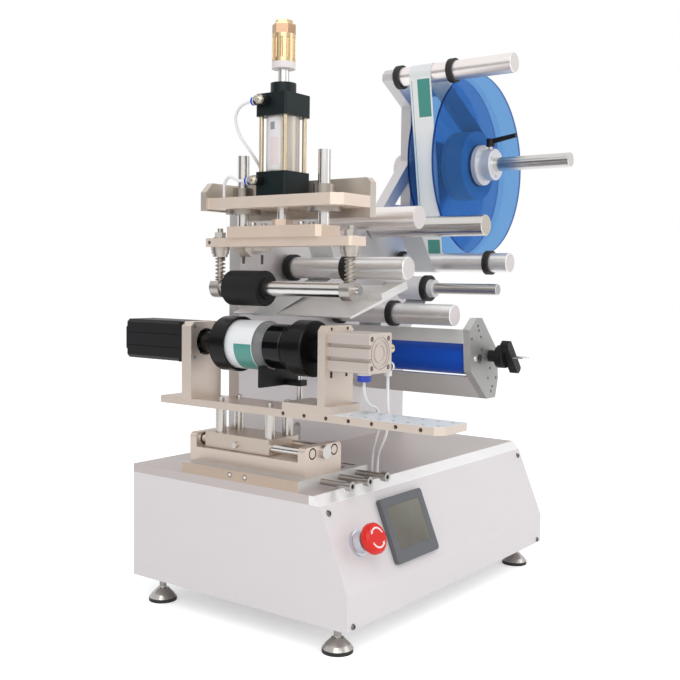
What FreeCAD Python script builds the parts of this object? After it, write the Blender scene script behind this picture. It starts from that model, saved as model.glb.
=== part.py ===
"""Tube labelling machine, in millimetres.

A jar lies between a motor-driven cup and a tail chuck. An air cylinder lowers a sprung rubber roller on
it, while a web is peeled over a sharp plate and hands over its labels. X runs to the right along the
operator side, Y runs away from the operator and Z is up. The machine is laid out from the back left
corner of its cabinet on the floor, and is moved to the centre of that footprint when it is written.
"""

import FreeCAD
import Part
import math
import os

Vector = FreeCAD.Vector
Rotation = FreeCAD.Rotation
Placement = FreeCAD.Placement
X_AXIS = Vector(1, 0, 0)
Y_AXIS = Vector(0, 1, 0)
Z_AXIS = Vector(0, 0, 1)

# Fits: a pin in its hole, pieces that pass each other, and a web beside its rollers
running_fit = 0.05
moving_gap = 0.3
web_gap = 0.3

# Cabinet
cabinet_width = 540.0
cabinet_depth = 381.0
cabinet_top = 198.0
floor_gap = 37.0
panel_fold = 82.0
panel_run = 43.0
top_thickness = 12.0
top_bevel = 11.5
sheet = 2.0

# Levelling feet
foot_inset_x = 26.0
foot_inset_y = 33.0
foot_radius = 20.0
foot_pad_height = 5.0
foot_dome_height = 13.0
foot_neck_radius = 8.0
foot_stud_radius = 5.0
foot_nut_across = 17.0
foot_nut_height = 6.0

# Operator panel
panel_mid_x = 162.5
screen_unit_width = 101.0
screen_unit_height = 87.0
screen_unit_lift = 7.0
screen_unit_depth = 30.0
screen_unit_corner = 5.0
screen_unit_lip = 5.0
screen_width = 76.0
screen_height = 58.0
screen_recess = 1.0
stop_button_x = 50.0
stop_head_radius = 20.0
stop_head_height = 14.0
stop_stem_radius = 8.0
stop_stem_depth = 24.0
stop_bezel_radius = 14.5
stop_bezel_height = 14.0
stop_body_radius = 11.0
stop_body_depth = 28.0
stop_travel = 5.0

# Locator plate under the cross slide
locator_width = 150.0
locator_back = 98.7
locator_front = 303.0
locator_thickness = 14.4
locator_slot_width = 7.0
locator_slot_length = 22.0
locator_bolt_xs = (48.0, 87.0, 126.5)
locator_bolt_radius = 4.0
locator_bolt_reach = 49.0
locator_head_radius = 6.5
locator_head_length = 8.0

# Cross slide
slide_left = 24.5
slide_width = 76.5
slide_back = 89.0
slide_front = 294.0
slide_floor = 18.0
slide_block_length = 12.0
slide_block_height = 37.5
slide_block_corner = 6.0
slide_stop_radius = 9.0
slide_stop = 6.0
slide_rod_radius = 6.0
slide_rod_spacing = 46.0
slide_rod_lift = 28.5
carriage_back = 111.0
carriage_front = 227.0
carriage_height = 21.0
carriage_margin = 7.5
post_radius = 7.5
post_height = 33.0
post_spacing_x = 37.0
post_inset_y = 18.0

# Support plate
plate_width = 60.0
plate_back = 21.0
plate_front = 488.0
plate_thickness = 10.0
plate_chamfer = 10.0
plate_hole_radius = 2.6
plate_hole_pitch = 35.0
plate_hole_first = 250.0
plate_hole_count = 7
plate_row_pitch = 21.0
plate_row_count = 7
plate_row_spacing = 34.0

# Tube axis, counted from the middle of the support plate
axis_x = 62.5
axis_height = 79.0

# Drive motor and its bracket
motor_side = 57.0
motor_length = 116.0
motor_grooves = 2
motor_groove = 1.5
motor_groove_depth = 1.2
motor_chamfer = 4.5
motor_cap_side = 40.0
motor_cap_length = 12.0
bracket_back = 63.5
bracket_thickness = 18.5
bracket_height = 107.5
bracket_corner = 6.0
motor_shaft_radius = 4.0
motor_shaft_socket = 10.0
motor_spigot_radius = 19.0
motor_spigot_length = 1.6

# Drive cup
hub_radius = 15.0
hub_length = 30.0
hub_gap = 2.0
cup_radius = 38.0
cup_back_radius = 30.0
cup_cone = 9.0
cup_length = 27.0
cup_wall = 3.0
cup_floor = 10.0

# Jar and lid
jar_radius = 33.5
jar_body = 76.0
jar_shoulder = 10.0
jar_neck_radius = 26.0
jar_neck = 12.0
jar_wall = 2.0
lid_radius = 30.0
lid_length = 28.0
lid_gap = 2.0
lid_top = 3.0

# Tail chuck and its air cylinder
tail_nose_radius = 20.0
tail_nose = 3.0
tail_ring_radius = 31.0
tail_ring = 7.0
tail_neck_radius = 26.0
tail_neck = 3.0
tail_disc_radius = 37.0
tail_disc = 28.0
tail_hub_radius = 19.0
tail_hub = 12.5
tail_stroke = 10.0
tail_rod_radius = 6.0
tail_rod_seat = 34.0
tail_bracket_back = 306.0
tail_bracket_thickness = 12.0
tail_foot_back = 248.0
tail_foot_front = 330.0
tail_foot_thickness = 10.0
tail_bracket_rise = 101.0
tail_cylinder_side = 50.0
tail_cylinder_length = 63.0
tail_cylinder_bore = 16.0
tail_piston = 12.0
tail_cover_rings = ((19.0, 20.5), (12.0, 17.0))
tail_cover_radius = 10.0
tail_cover_depth = 1.2
tail_groove = 5.0
tail_groove_pitch = 17.0
tail_bolt_radius = 3.4
tail_bolt_inset = 7.0
tail_port_radius = 6.0
tail_port_length = 12.0

# Jar rest between the chucks
rest_y = 206.0
rest_thickness = 5.0
rest_left = 33.0
rest_right = 109.0
rest_bottom = 25.0
rest_height = 29.0
rest_gap = 1.5
rest_post_x = 90.0
rest_post_y = 231.0
rest_post_radius = 4.0
rest_post_height = 40.0
rest_tab_height = 8.0
rest_tab_width = 14.0

# Main wall
wall_left = 103.0
wall_right = 538.0
wall_back = 88.0
wall_thickness = 20.0
wall_top = 578.0
wall_arch_x = 236.0
wall_arch_height = 44.0
wall_arch_radius = 9.0
wall_slot_xs = (111.0, 151.0)
wall_slot_bottom = 485.0
wall_slot_length = 14.0
wall_slot_width = 6.0

# Reel frame above the wall, with the reel's brake behind it
frame_foot_left = 456.0
frame_foot_right = 640.0
frame_post_left = 548.0
frame_post_right = 600.0
frame_brace_top = 678.0
frame_arm_bottom = 772.0
frame_arm_right = 672.0
frame_arm_depth = 18.0
frame_window_inset = 46.0
frame_window_width = 48.0
frame_window_lift = 18.0
frame_hub_radius = 46.0
frame_tip_radius = 14.0
brake_radius = 29.0
brake_length = 66.0

# Reel
reel_x = 654.0
reel_z = 674.0
reel_radius = 164.0
reel_disc_thickness = 4.0
reel_gap = 44.0
reel_far_face = 140.0
reel_roll_radius = 62.0
reel_core_radius = 38.0
reel_spindle_radius = 12.5
reel_seat_radius = 13.5
reel_spindle_end = 367.0
reel_flange_radius = 36.0
reel_flange = 8.0
reel_collar_radius = 28.0
reel_collar = 24.0
lever_stud_radius = 4.0
lever_stud = 12.0
lever_hub_radius = 7.5
lever_hub = 14.0
lever_length = 50.0
lever_tip_radius = 4.0
lever_rise = 8.0

# Web and its rollers: x and z of each axis, and how far each reaches towards the operator
web_width = 42.0
web_thickness = 0.5
roller_radius = 16.0
roller_back_gap = 2.0
roller_shaft_radius = 6.0
roller_end_wall = 6.0
collar_rise = 4.0
collar_width = 10.0
collar_gap = 3.0
top_roller_x = 500.0
top_roller_z = 814.0
top_roller_reach = 226.0
white_roller_x = 214.0
white_roller_z = 551.0
white_roller_reach = 232.0
chrome_roller_x = 434.0
chrome_roller_z = 552.0
chrome_roller_radius = 16.5
chrome_roller_reach = 217.0
nose_roller_x = 212.0
nose_roller_z = 481.0
nose_roller_reach = 217.0
dancer_roller_x = 519.0
dancer_roller_z = 495.0
dancer_roller_reach = 217.0
return_roller_x = 332.0
return_roller_z = 413.0
return_roller_reach = 223.0
near_collar_y = 217.0
dancer_collar_y = 282.0

# Peel plate with its clamp bar
peel_tip_x = 92.0
peel_tip_z = 415.0
peel_tip_radius = 1.5
peel_length = 140.0
peel_angle = 16.5
peel_thickness = 4.0
peel_front = 314.0
peel_taper = 60.0
peel_bar_length = 46.0
peel_bar_depth = 13.0
peel_bar_width = 22.0
peel_rib_start = 75.0
peel_rib_height = 8.0
peel_rib_width = 24.0

# Traction unit
traction_x = 372.0
traction_z = 347.0
traction_radius = 25.0
traction_front = 340.0
traction_plate = 12.0
traction_shaft_radius = 7.0
traction_cover = 3.0
traction_upper_cover = 21.0
traction_lower_start = 0.2
traction_hole_radius = 1.9
traction_outline = (
    (-32.0, 45.0), (-11.0, 62.0), (5.0, 62.0), (56.0, 11.0),
    (61.0, -34.0), (53.0, -63.0), (26.0, -63.0), (-26.0, -18.0),
)
traction_holes = (
    (-7.0, 50.0), (-4.0, 43.0), (3.0, 33.0), (-25.0, 31.0), (7.0, 14.0), (-13.0, 1.0),
    (34.0, -16.0), (28.0, -31.0), (54.0, -32.0), (42.0, -45.0), (39.0, -52.0),
)
nip_x = 405.0
nip_z = 350.0
nip_shaft_radius = 5.0
nip_relief = 0.2
knob_neck = 14.0
knob_neck_radius = 9.0
knob_hub_radius = 17.5
knob_hub = 14.0
knob_span = 60.0
knob_thickness = 14.0
knob_length = 13.0
knob_tilt = 40.0
knob_fork_wire = 1.6
knob_fork_radius = 6.0
knob_fork_length = 16.0

# Rewind shaft
rewind_x = 477.0
rewind_z = 451.0
rewind_radius = 9.0
rewind_front = 326.0
rewind_hub_radius = 14.5
rewind_roll_radius = 20.0
rewind_collar_radius = 22.0
rewind_collar = 10.0
rewind_hub = 10.0

# Press unit: plates
press_y = 220.5
press_plate_z = 557.0
press_plate_thickness = 15.0
press_plate_left = 28.0
press_plate_right = 97.5
press_plate_front = 338.0
press_plate_chamfer = 12.0
press_back_thickness = 10.0
press_back_left = 24.0
press_back_right = 140.0
press_back_top = 593.0
press_rib_thickness = 12.5
press_rib_bottom = 545.0
press_rib_top = 596.0
press_rib_nose = 6.0
press_lug_left = 92.0
press_lug_right = 150.0
press_lug_top = 508.0
press_lug_thickness = 5.0
press_lug_drop = 13.0
press_lug_width = 20.0

# Press unit: guides
guide_rod_radius = 8.0
guide_rod_spacing = 139.0
guide_rod_top = 630.0
guide_bush_radius = 14.0
guide_bush_rise = 29.0
guide_flange_radius = 24.0
guide_flange_thickness = 6.0

# Press unit: air cylinder
cylinder_side = 52.0
lower_cap = 32.0
barrel_length = 72.0
upper_cap = 29.0
barrel_radius = 22.0
cylinder_bore = 20.0
tie_rod_radius = 3.0
tie_rod_spacing = 40.0
cylinder_boss_radius = 17.0
cylinder_boss = 15.0
cap_corner = 4.0
elbow_radius = 6.5
elbow_reach = 13.0
elbow_outlet_radius = 5.5
elbow_hex = 11.0
elbow_hex_length = 4.0
elbow_screw_radius = 3.6
elbow_screw = 6.0
elbow_side = 12.0
elbow_tail = 12.0
air_tube_radius = 2.0

# Press unit: moving pieces
stop_gap = 18.7
press_rod_radius = 7.5
press_piston = 15.0
crosshead_left = 40.0
crosshead_width = 45.0
crosshead_length = 158.0
crosshead_bottom = 519.0
crosshead_thickness = 15.0
crosshead_chamfer = 6.0
rod_nut_across = 24.0
rod_nut_height = 8.5
bar_width = 36.0
bar_length = 251.0
bar_thickness = 12.0
stop_washer_radius = 15.5
stop_washer = 8.5
stop_sleeve_radius = 15.5
stop_sleeve = 36.0
stop_flutes = 12
stop_flute_radius = 1.6
stop_nut_across = 27.0
stop_nut = 13.0
stop_lock_across = 20.0
stop_lock = 5.0

# Sprung presser
pin_spacing = 225.0
pin_radius = 4.0
pin_top = 14.0
pin_nut_across = 14.0
pin_nut = 7.0
pin_washer_radius = 10.0
pin_washer = 1.5
bush_flange_radius = 13.0
bush_flange = 13.5
bush_barrel_radius = 7.0
eye_radius = 14.0
eye_top = 9.0
eye_width = 16.0
presser_z = 451.0
presser_radius = 24.0
presser_back = 131.0
presser_length = 63.0
presser_core_radius = 17.0
presser_shaft_radius = 10.0
presser_end_radius = 6.0
spring_radius = 6.2
spring_wire = 1.1
spring_turns = 7
spring_facets = 10

# Places worked out from the sizes
shift = Vector(-cabinet_width / 2, cabinet_depth / 2, 0)
panel_top_y = -(cabinet_depth - panel_run)
panel_top_z = cabinet_top - top_thickness
panel_tilt = math.degrees(math.atan2(panel_top_z - panel_fold, panel_run))
panel_mid_y = panel_top_y - panel_run / 2
panel_mid_z = (panel_top_z + panel_fold) / 2
locator_top = cabinet_top + locator_thickness
rail_top = locator_top + slide_floor
slide_rod_z = locator_top + slide_rod_lift
carriage_bottom = rail_top + 2 * moving_gap
carriage_top = carriage_bottom + carriage_height
plate_bottom = carriage_top + post_height
plate_top = plate_bottom + plate_thickness
axis_z = plate_top + axis_height
plate_left = axis_x - plate_width / 2
plate_right = axis_x + plate_width / 2
wall_front = wall_back + wall_thickness
bracket_front = bracket_back + bracket_thickness
cup_back = bracket_front + hub_gap
cup_rim = cup_back + hub_length + cup_cone + cup_length
jar_base = cup_back + hub_length + cup_floor
jar_neck_start = jar_base + jar_body + jar_shoulder
lid_back = jar_neck_start + lid_gap
lid_front = lid_back + lid_length
tail_start = lid_front + moving_gap
tail_disc_start = tail_start + tail_nose + tail_ring + tail_neck
tail_disc_end = tail_disc_start + tail_disc
tail_bracket_front = tail_bracket_back + tail_bracket_thickness
tail_cylinder_front = tail_bracket_front + tail_cylinder_length
press_plate_top = press_plate_z + press_plate_thickness
guide_bush_top = press_plate_z + guide_bush_rise
lower_cap_top = press_plate_top + lower_cap
barrel_top = lower_cap_top + barrel_length
upper_cap_top = barrel_top + upper_cap
boss_top = upper_cap_top + cylinder_boss
washer_bottom = boss_top + stop_gap
sleeve_bottom = washer_bottom + stop_washer
sleeve_top = sleeve_bottom + stop_sleeve
crosshead_top = crosshead_bottom + crosshead_thickness
bar_bottom = crosshead_bottom - bar_thickness
bush_bottom = bar_bottom - bush_flange
spring_bottom = presser_z + eye_top
reel_near_face = reel_far_face + 2 * reel_disc_thickness + reel_gap
web_back = reel_far_face + reel_disc_thickness + (reel_gap - web_width) / 2
reel_collar_back = reel_near_face + reel_flange
reel_collar_front = reel_collar_back + reel_collar
nip_spacing = math.hypot(nip_x - traction_x, nip_z - traction_z)
nip_radius = nip_spacing - traction_radius - 2 * web_gap - web_thickness - nip_relief


def box(x, y, z):
    """Makes a block between two values along each axis."""
    return Part.makeBox(x[1] - x[0], y[1] - y[0], z[1] - z[0], Vector(x[0], y[0], z[0]))


def around(middle, size):
    """Gives the two ends of a size that is centred on a value."""
    return middle - size / 2, middle + size / 2


def rod_x(y, z, radius, start, end):
    """Makes a round bar along X."""
    return Part.makeCylinder(radius, end - start, Vector(start, y, z), X_AXIS)


def rod_y(x, z, radius, near, far):
    """Makes a round bar along Y, between two distances in front of the cabinet's back."""
    return Part.makeCylinder(radius, far - near, Vector(x, -far, z), Y_AXIS)


def rod_z(x, y, radius, bottom, top):
    """Makes an upright round bar."""
    return Part.makeCylinder(radius, top - bottom, Vector(x, y, bottom), Z_AXIS)


def face_of(corners):
    """Makes a flat face from its corners."""
    return Part.Face(Part.makePolygon(corners + corners[:1]))


def prism_x(points, start, end):
    """Extrudes an outline of (y, z) corners along X."""
    return face_of([Vector(start, y, z) for y, z in points]).extrude(Vector(end - start, 0, 0))


def prism_y(points, near, far):
    """Extrudes an outline of (x, z) corners along Y, between two distances from the back."""
    return face_of([Vector(x, -near, z) for x, z in points]).extrude(Vector(0, near - far, 0))


def prism_z(points, bottom, top):
    """Extrudes an outline of (x, y) corners upwards."""
    return face_of([Vector(x, y, bottom) for x, y in points]).extrude(Vector(0, 0, top - bottom))


def turned_y(profile, x, z):
    """Turns a profile of (distance from the back, radius) round an axis along Y."""
    face = face_of([Vector(x, -distance, z + radius) for distance, radius in profile])
    return face.revolve(Vector(x, 0, z), Y_AXIS, 360)


def turned_z(profile, x, y):
    """Turns a profile of (height, radius) round an upright axis."""
    face = face_of([Vector(x + radius, y, height) for height, radius in profile])
    return face.revolve(Vector(x, y, 0), Z_AXIS, 360)


def hexagon(x, y, across, bottom, top):
    """Makes an upright hexagonal prism from its width across the flats."""
    corner = across / math.sqrt(3)
    turns = [math.radians(60 * step) for step in range(6)]
    return prism_z([(x + corner * math.cos(a), y + corner * math.sin(a)) for a in turns], bottom, top)


def cut(solid, *tools):
    """Takes tools out of a solid."""
    for tool in tools:
        solid = solid.cut(tool)
    return solid


def joined(first, *others):
    """Makes one solid of touching ones."""
    for other in others:
        first = first.fuse(other)
    return first.removeSplitter()


def rounded(solid, radius, direction):
    """Rounds the edges of a solid that run along one direction."""
    edges = []
    for edge in solid.Edges:
        if edge.Curve.TypeId == "Part::GeomLine":
            if abs(abs(edge.tangentAt(edge.FirstParameter).dot(direction)) - 1) < 1e-6:
                edges.append(edge)
    return solid.makeFillet(radius, edges)


def on_panel(solid, x):
    """Seats a piece, drawn on the floor with its face upwards, on the middle of the sloped panel."""
    seated = solid.copy()
    seated.Placement = Placement(Vector(x, panel_mid_y, panel_mid_z), Rotation(X_AXIS, panel_tilt))
    return seated


def write(name, *solids):
    """Moves the solids of one node to the centre of the footprint and writes them."""
    shape = solids[0] if len(solids) == 1 else Part.makeCompound(list(solids))
    moved = shape.copy()
    moved.translate(shift)
    moved.exportStep("parts/%s.step" % name)


def cabinet():
    """Folded body, bevelled top plate and levelling feet."""
    outline = [
        (0, floor_gap),
        (0, panel_top_z),
        (panel_top_y, panel_top_z),
        (-cabinet_depth, panel_fold),
        (-cabinet_depth, floor_gap),
    ]
    slope = math.radians(panel_tilt)
    slanted = sheet / math.sin(slope)
    inner_fold = panel_fold - sheet * math.tan((math.pi / 2 - slope) / 2)
    hollow = [
        (-sheet, floor_gap + sheet),
        (-sheet, panel_top_z),
        (panel_top_y + slanted, panel_top_z),
        (-cabinet_depth + sheet, inner_fold),
        (-cabinet_depth + sheet, floor_gap + sheet),
    ]
    body = prism_x(outline, 0, cabinet_width)
    body = cut(body, prism_x(hollow, sheet, cabinet_width - sheet))
    window = around(0, screen_unit_width - 2 * screen_unit_lip)
    window_rise = around(0, screen_unit_height - 2 * screen_unit_lip)
    body = cut(
        body,
        on_panel(box(window, window_rise, around(0, 4 * sheet)), panel_mid_x),
        on_panel(rod_z(0, 0, stop_body_radius + running_fit, -2 * sheet, 2 * sheet), stop_button_x),
    )
    write("cabinet_body", body)

    top_front = panel_top_y
    top = box((0, cabinet_width), (top_front, 0), (panel_top_z, cabinet_top))
    long_edges = [
        edge
        for edge in top.Edges
        if abs(edge.CenterOfMass.z - cabinet_top) < 0.01 and abs(edge.CenterOfMass.y - top_front) < 0.01
    ]
    write("top_plate", top.makeChamfer(top_bevel, long_edges))

    dome_top = foot_pad_height + foot_dome_height
    profile = [
        (0, 0),
        (0, foot_radius),
        (foot_pad_height, foot_radius),
        (foot_pad_height + 0.4 * foot_dome_height, 0.8 * foot_radius),
        (dome_top, foot_neck_radius),
        (dome_top, foot_stud_radius),
        (floor_gap, foot_stud_radius),
        (floor_gap, 0),
    ]
    feet = []
    for x in (foot_inset_x, cabinet_width - foot_inset_x):
        for y in (-foot_inset_y, -(cabinet_depth - foot_inset_y)):
            nut = hexagon(x, y, foot_nut_across, floor_gap - foot_nut_height, floor_gap)
            feet.append(joined(turned_z(profile, x, y), nut))
    write("levelling_feet", *feet)


def operator_panel():
    """Touch panel and emergency stop, drawn flat and seated on the slope."""
    width = around(0, screen_unit_width)
    height = around(0, screen_unit_height)
    bezel = rounded(box(width, height, (0, screen_unit_lift)), screen_unit_corner, Z_AXIS)
    recess = box(
        around(0, screen_width),
        around(screen_unit_lip / 2, screen_height),
        (screen_unit_lift - screen_recess, screen_unit_lift),
    )
    behind = box(
        around(0, screen_unit_width - 2 * screen_unit_lip - moving_gap),
        around(0, screen_unit_height - 2 * screen_unit_lip - moving_gap),
        (-screen_unit_depth, 0),
    )
    write("touch_panel", on_panel(joined(cut(bezel, recess), behind), panel_mid_x))

    bore = stop_stem_radius + running_fit
    ring = [
        (-stop_body_depth, bore),
        (-stop_body_depth, stop_body_radius),
        (0, stop_body_radius),
        (0, stop_bezel_radius + 2),
        (0.3 * stop_bezel_height, stop_bezel_radius + 2),
        (0.35 * stop_bezel_height, stop_bezel_radius),
        (stop_bezel_height, stop_bezel_radius - 1.5),
        (stop_bezel_height, bore),
    ]
    write("estop_base", on_panel(turned_z(ring, 0, 0), stop_button_x))
    head_bottom = stop_bezel_height + stop_travel + moving_gap
    head_top = head_bottom + stop_head_height
    mushroom = [
        (head_bottom - stop_stem_depth, 0),
        (head_bottom - stop_stem_depth, stop_stem_radius),
        (head_bottom, stop_stem_radius),
        (head_bottom, 0.6 * stop_head_radius),
        (head_bottom + 0.2 * stop_head_height, stop_head_radius - 1),
        (head_bottom + 0.4 * stop_head_height, stop_head_radius),
        (head_top - 0.2 * stop_head_height, stop_head_radius - 0.5),
        (head_top, stop_head_radius - 3),
        (head_top, 0),
    ]
    write("estop_head", on_panel(turned_z(mushroom, 0, 0), stop_button_x))


def cross_slide():
    """Locator plate, slide base on its rods, and the carriage with its posts."""
    plate = box((0, locator_width), (-locator_front, -locator_back), (cabinet_top, locator_top))
    slots = []
    for x in (0.75 * locator_width, 0.9 * locator_width):
        slots.append(
            box(
                around(x, locator_slot_width),
                around(-(locator_front - locator_slot_length), locator_slot_length),
                (locator_top - 4, locator_top),
            )
        )
    holes = [
        rod_y(x, cabinet_top + locator_thickness / 2, locator_bolt_radius, locator_front - 30, locator_front)
        for x in locator_bolt_xs
    ]
    notch = box(
        (wall_left - moving_gap, locator_width),
        (-wall_front - moving_gap, -locator_back),
        (cabinet_top, locator_top),
    )
    plate = cut(plate, notch, *slots, *holes)
    bolt_end = locator_front + locator_bolt_reach
    bolts = []
    for x in locator_bolt_xs:
        profile = [
            (locator_front - 30, 0),
            (locator_front - 30, locator_bolt_radius),
            (bolt_end - locator_head_length, locator_bolt_radius),
            (bolt_end - locator_head_length, locator_head_radius),
            (bolt_end, locator_head_radius),
            (bolt_end, 3),
            (bolt_end - 5, 3),
            (bolt_end - 5, 0),
        ]
        bolts.append(turned_y(profile, x, cabinet_top + locator_thickness / 2))
    write("locator_plate", plate, *bolts)

    right = slide_left + slide_width
    block_top = locator_top + slide_block_height
    profile = [
        (-slide_back, locator_top),
        (-slide_back, block_top),
        (-slide_back - slide_block_length, block_top),
        (-slide_back - slide_block_length, rail_top),
        (-slide_front + slide_block_length, rail_top),
        (-slide_front + slide_block_length, block_top),
        (-slide_front, block_top),
        (-slide_front, locator_top),
    ]
    base = prism_x(profile, slide_left, right)
    top_edges = [
        edge
        for edge in base.Edges
        if abs(edge.CenterOfMass.z - block_top) < 0.01 and abs(edge.Length - slide_block_length) < 0.01
    ]
    base = base.makeFillet(slide_block_corner, top_edges)
    stop = rod_y(slide_left + slide_width / 2, slide_rod_z, slide_stop_radius, slide_front, slide_front + slide_stop)
    base = joined(base, stop)
    rods = []
    rod_bores = []
    for x in around(slide_left + slide_width / 2, slide_rod_spacing):
        rods.append(rod_y(x, slide_rod_z, slide_rod_radius, slide_back, slide_front))
        rod_bores.append(rod_y(x, slide_rod_z, slide_rod_radius + running_fit, slide_back - 1, slide_front + 1))
    write("slide_base", cut(base, *rod_bores), *rods)

    block = box(
        (slide_left + carriage_margin, right - carriage_margin),
        (-carriage_front, -carriage_back),
        (carriage_bottom, carriage_top),
    )
    clamp = rod_x(-(carriage_back + carriage_front) / 2, carriage_bottom + 0.4 * carriage_height, 4,
                  slide_left + carriage_margin - 5, slide_left + carriage_margin)
    posts = []
    for x in around(axis_x, post_spacing_x):
        for distance in (carriage_back + post_inset_y, carriage_front - post_inset_y / 2):
            posts.append(rod_z(x, -distance, post_radius, carriage_top, plate_bottom))
    write("carriage", joined(cut(block, *rod_bores), clamp), *posts)


def support_plate():
    """Long plate that carries both chucks, with its chamfered corner and rows of holes."""
    outline = [
        (plate_left, -plate_back),
        (plate_right, -plate_back),
        (plate_right, -plate_front),
        (plate_left + plate_chamfer, -plate_front),
        (plate_left, -plate_front + plate_chamfer),
    ]
    plate = prism_z(outline, plate_bottom, plate_top)
    side_z = (plate_bottom + plate_top) / 2
    tools = []
    for step in range(plate_hole_count):
        distance = plate_hole_first + step * plate_hole_pitch
        tools.append(rod_x(-distance, side_z, plate_hole_radius, plate_left, plate_left + 12))
    for step in range(plate_row_count):
        distance = plate_front - 12 - step * plate_row_pitch
        for x in around(axis_x, plate_row_spacing):
            tools.append(rod_z(x, -distance, plate_hole_radius, plate_top - 4, plate_top))
    write("support_plate", cut(plate, *tools))


def grooved_square(side, chamfer, grooves, width, depth):
    """Gives the outline of a square bar with cut corners and straight grooves in its four sides."""
    half = side / 2
    pitch = side / (grooves + 1)
    points = []
    for quarter in range(4):
        edge = [(chamfer - half, -half)]
        for step in range(1, grooves + 1):
            middle = step * pitch - half
            edge += [
                (middle - width / 2, -half),
                (middle - width / 2, depth - half),
                (middle + width / 2, depth - half),
                (middle + width / 2, -half),
            ]
        edge.append((half - chamfer, -half))
        turn = math.radians(90 * quarter)
        for a, b in edge:
            points.append((
                axis_x + a * math.cos(turn) - b * math.sin(turn),
                axis_z + a * math.sin(turn) + b * math.cos(turn),
            ))
    return points


def drive_end():
    """Motor with its bracket, the driven cup, and the jar that stands in it."""
    width = (plate_left, plate_right)
    bracket = box(width, (-bracket_front, -bracket_back), (plate_top, plate_top + bracket_height))
    top_edges = [
        edge
        for edge in bracket.Edges
        if abs(edge.CenterOfMass.z - plate_top - bracket_height) < 0.01 and abs(edge.Length - bracket_thickness) < 0.01
    ]
    bracket = bracket.makeChamfer(bracket_corner, top_edges)
    spigot = motor_spigot_radius + running_fit
    bracket = cut(bracket, rod_y(axis_x, axis_z, spigot, bracket_back - 1, bracket_front + 1))
    write("motor_bracket", bracket)

    outline = grooved_square(motor_side, motor_chamfer, motor_grooves, motor_groove, motor_groove_depth)
    motor = prism_y(outline, bracket_back - motor_length, bracket_back)
    end_plate = box(
        around(axis_x, motor_side),
        (-bracket_back, 8 - bracket_back),
        around(axis_z, motor_side),
    )
    cap_start = bracket_back - motor_length - motor_cap_length
    cap = prism_y(grooved_square(motor_cap_side, motor_chamfer, 0, 0, 0), cap_start, bracket_back - motor_length)
    spigot = rod_y(axis_x, axis_z, motor_spigot_radius, bracket_back, bracket_back + motor_spigot_length)
    socket = rod_y(
        axis_x, axis_z, motor_shaft_radius + running_fit,
        bracket_back - motor_shaft_socket, bracket_back + motor_spigot_length,
    )
    write("drive_motor", cut(joined(motor, end_plate, cap, spigot), socket))

    cone_start = cup_back + hub_length
    cone_end = cone_start + cup_cone
    bore = cup_radius - cup_wall
    profile = [
        (bracket_back - motor_shaft_socket + 1, 0),
        (bracket_back - motor_shaft_socket + 1, motor_shaft_radius),
        (cup_back, motor_shaft_radius),
        (cup_back, hub_radius),
        (cone_start, hub_radius),
        (cone_start, cup_back_radius),
        (cone_end, cup_radius),
        (cup_rim, cup_radius),
        (cup_rim, bore + 1),
        (cup_rim - 1, bore),
        (jar_base, bore),
        (jar_base, 0),
    ]
    write("drive_cup", turned_y(profile, axis_x, axis_z))

    shoulder = jar_base + jar_body
    neck_end = jar_neck_start + jar_neck
    profile = [
        (jar_base, 0),
        (jar_base, jar_radius - 2),
        (jar_base + 2, jar_radius),
        (shoulder, jar_radius),
        (jar_neck_start, jar_neck_radius),
        (neck_end, jar_neck_radius),
        (neck_end, jar_neck_radius - jar_wall),
        (jar_neck_start, jar_neck_radius - jar_wall),
        (shoulder, jar_radius - jar_wall),
        (jar_base + jar_wall, jar_radius - jar_wall),
        (jar_base + jar_wall, 0),
    ]
    write("jar", turned_y(profile, axis_x, axis_z))
    bore = jar_neck_radius + running_fit
    profile = [
        (lid_back, bore),
        (lid_back, lid_radius),
        (lid_front - 1.5, lid_radius),
        (lid_front, lid_radius - 1.5),
        (lid_front, 0),
        (lid_front - lid_top, 0),
        (lid_front - lid_top, jar_neck_radius - jar_wall - 2),
        (neck_end + running_fit, jar_neck_radius - jar_wall - 2),
        (neck_end + running_fit, bore),
    ]
    write("jar_lid", turned_y(profile, axis_x, axis_z))


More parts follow.
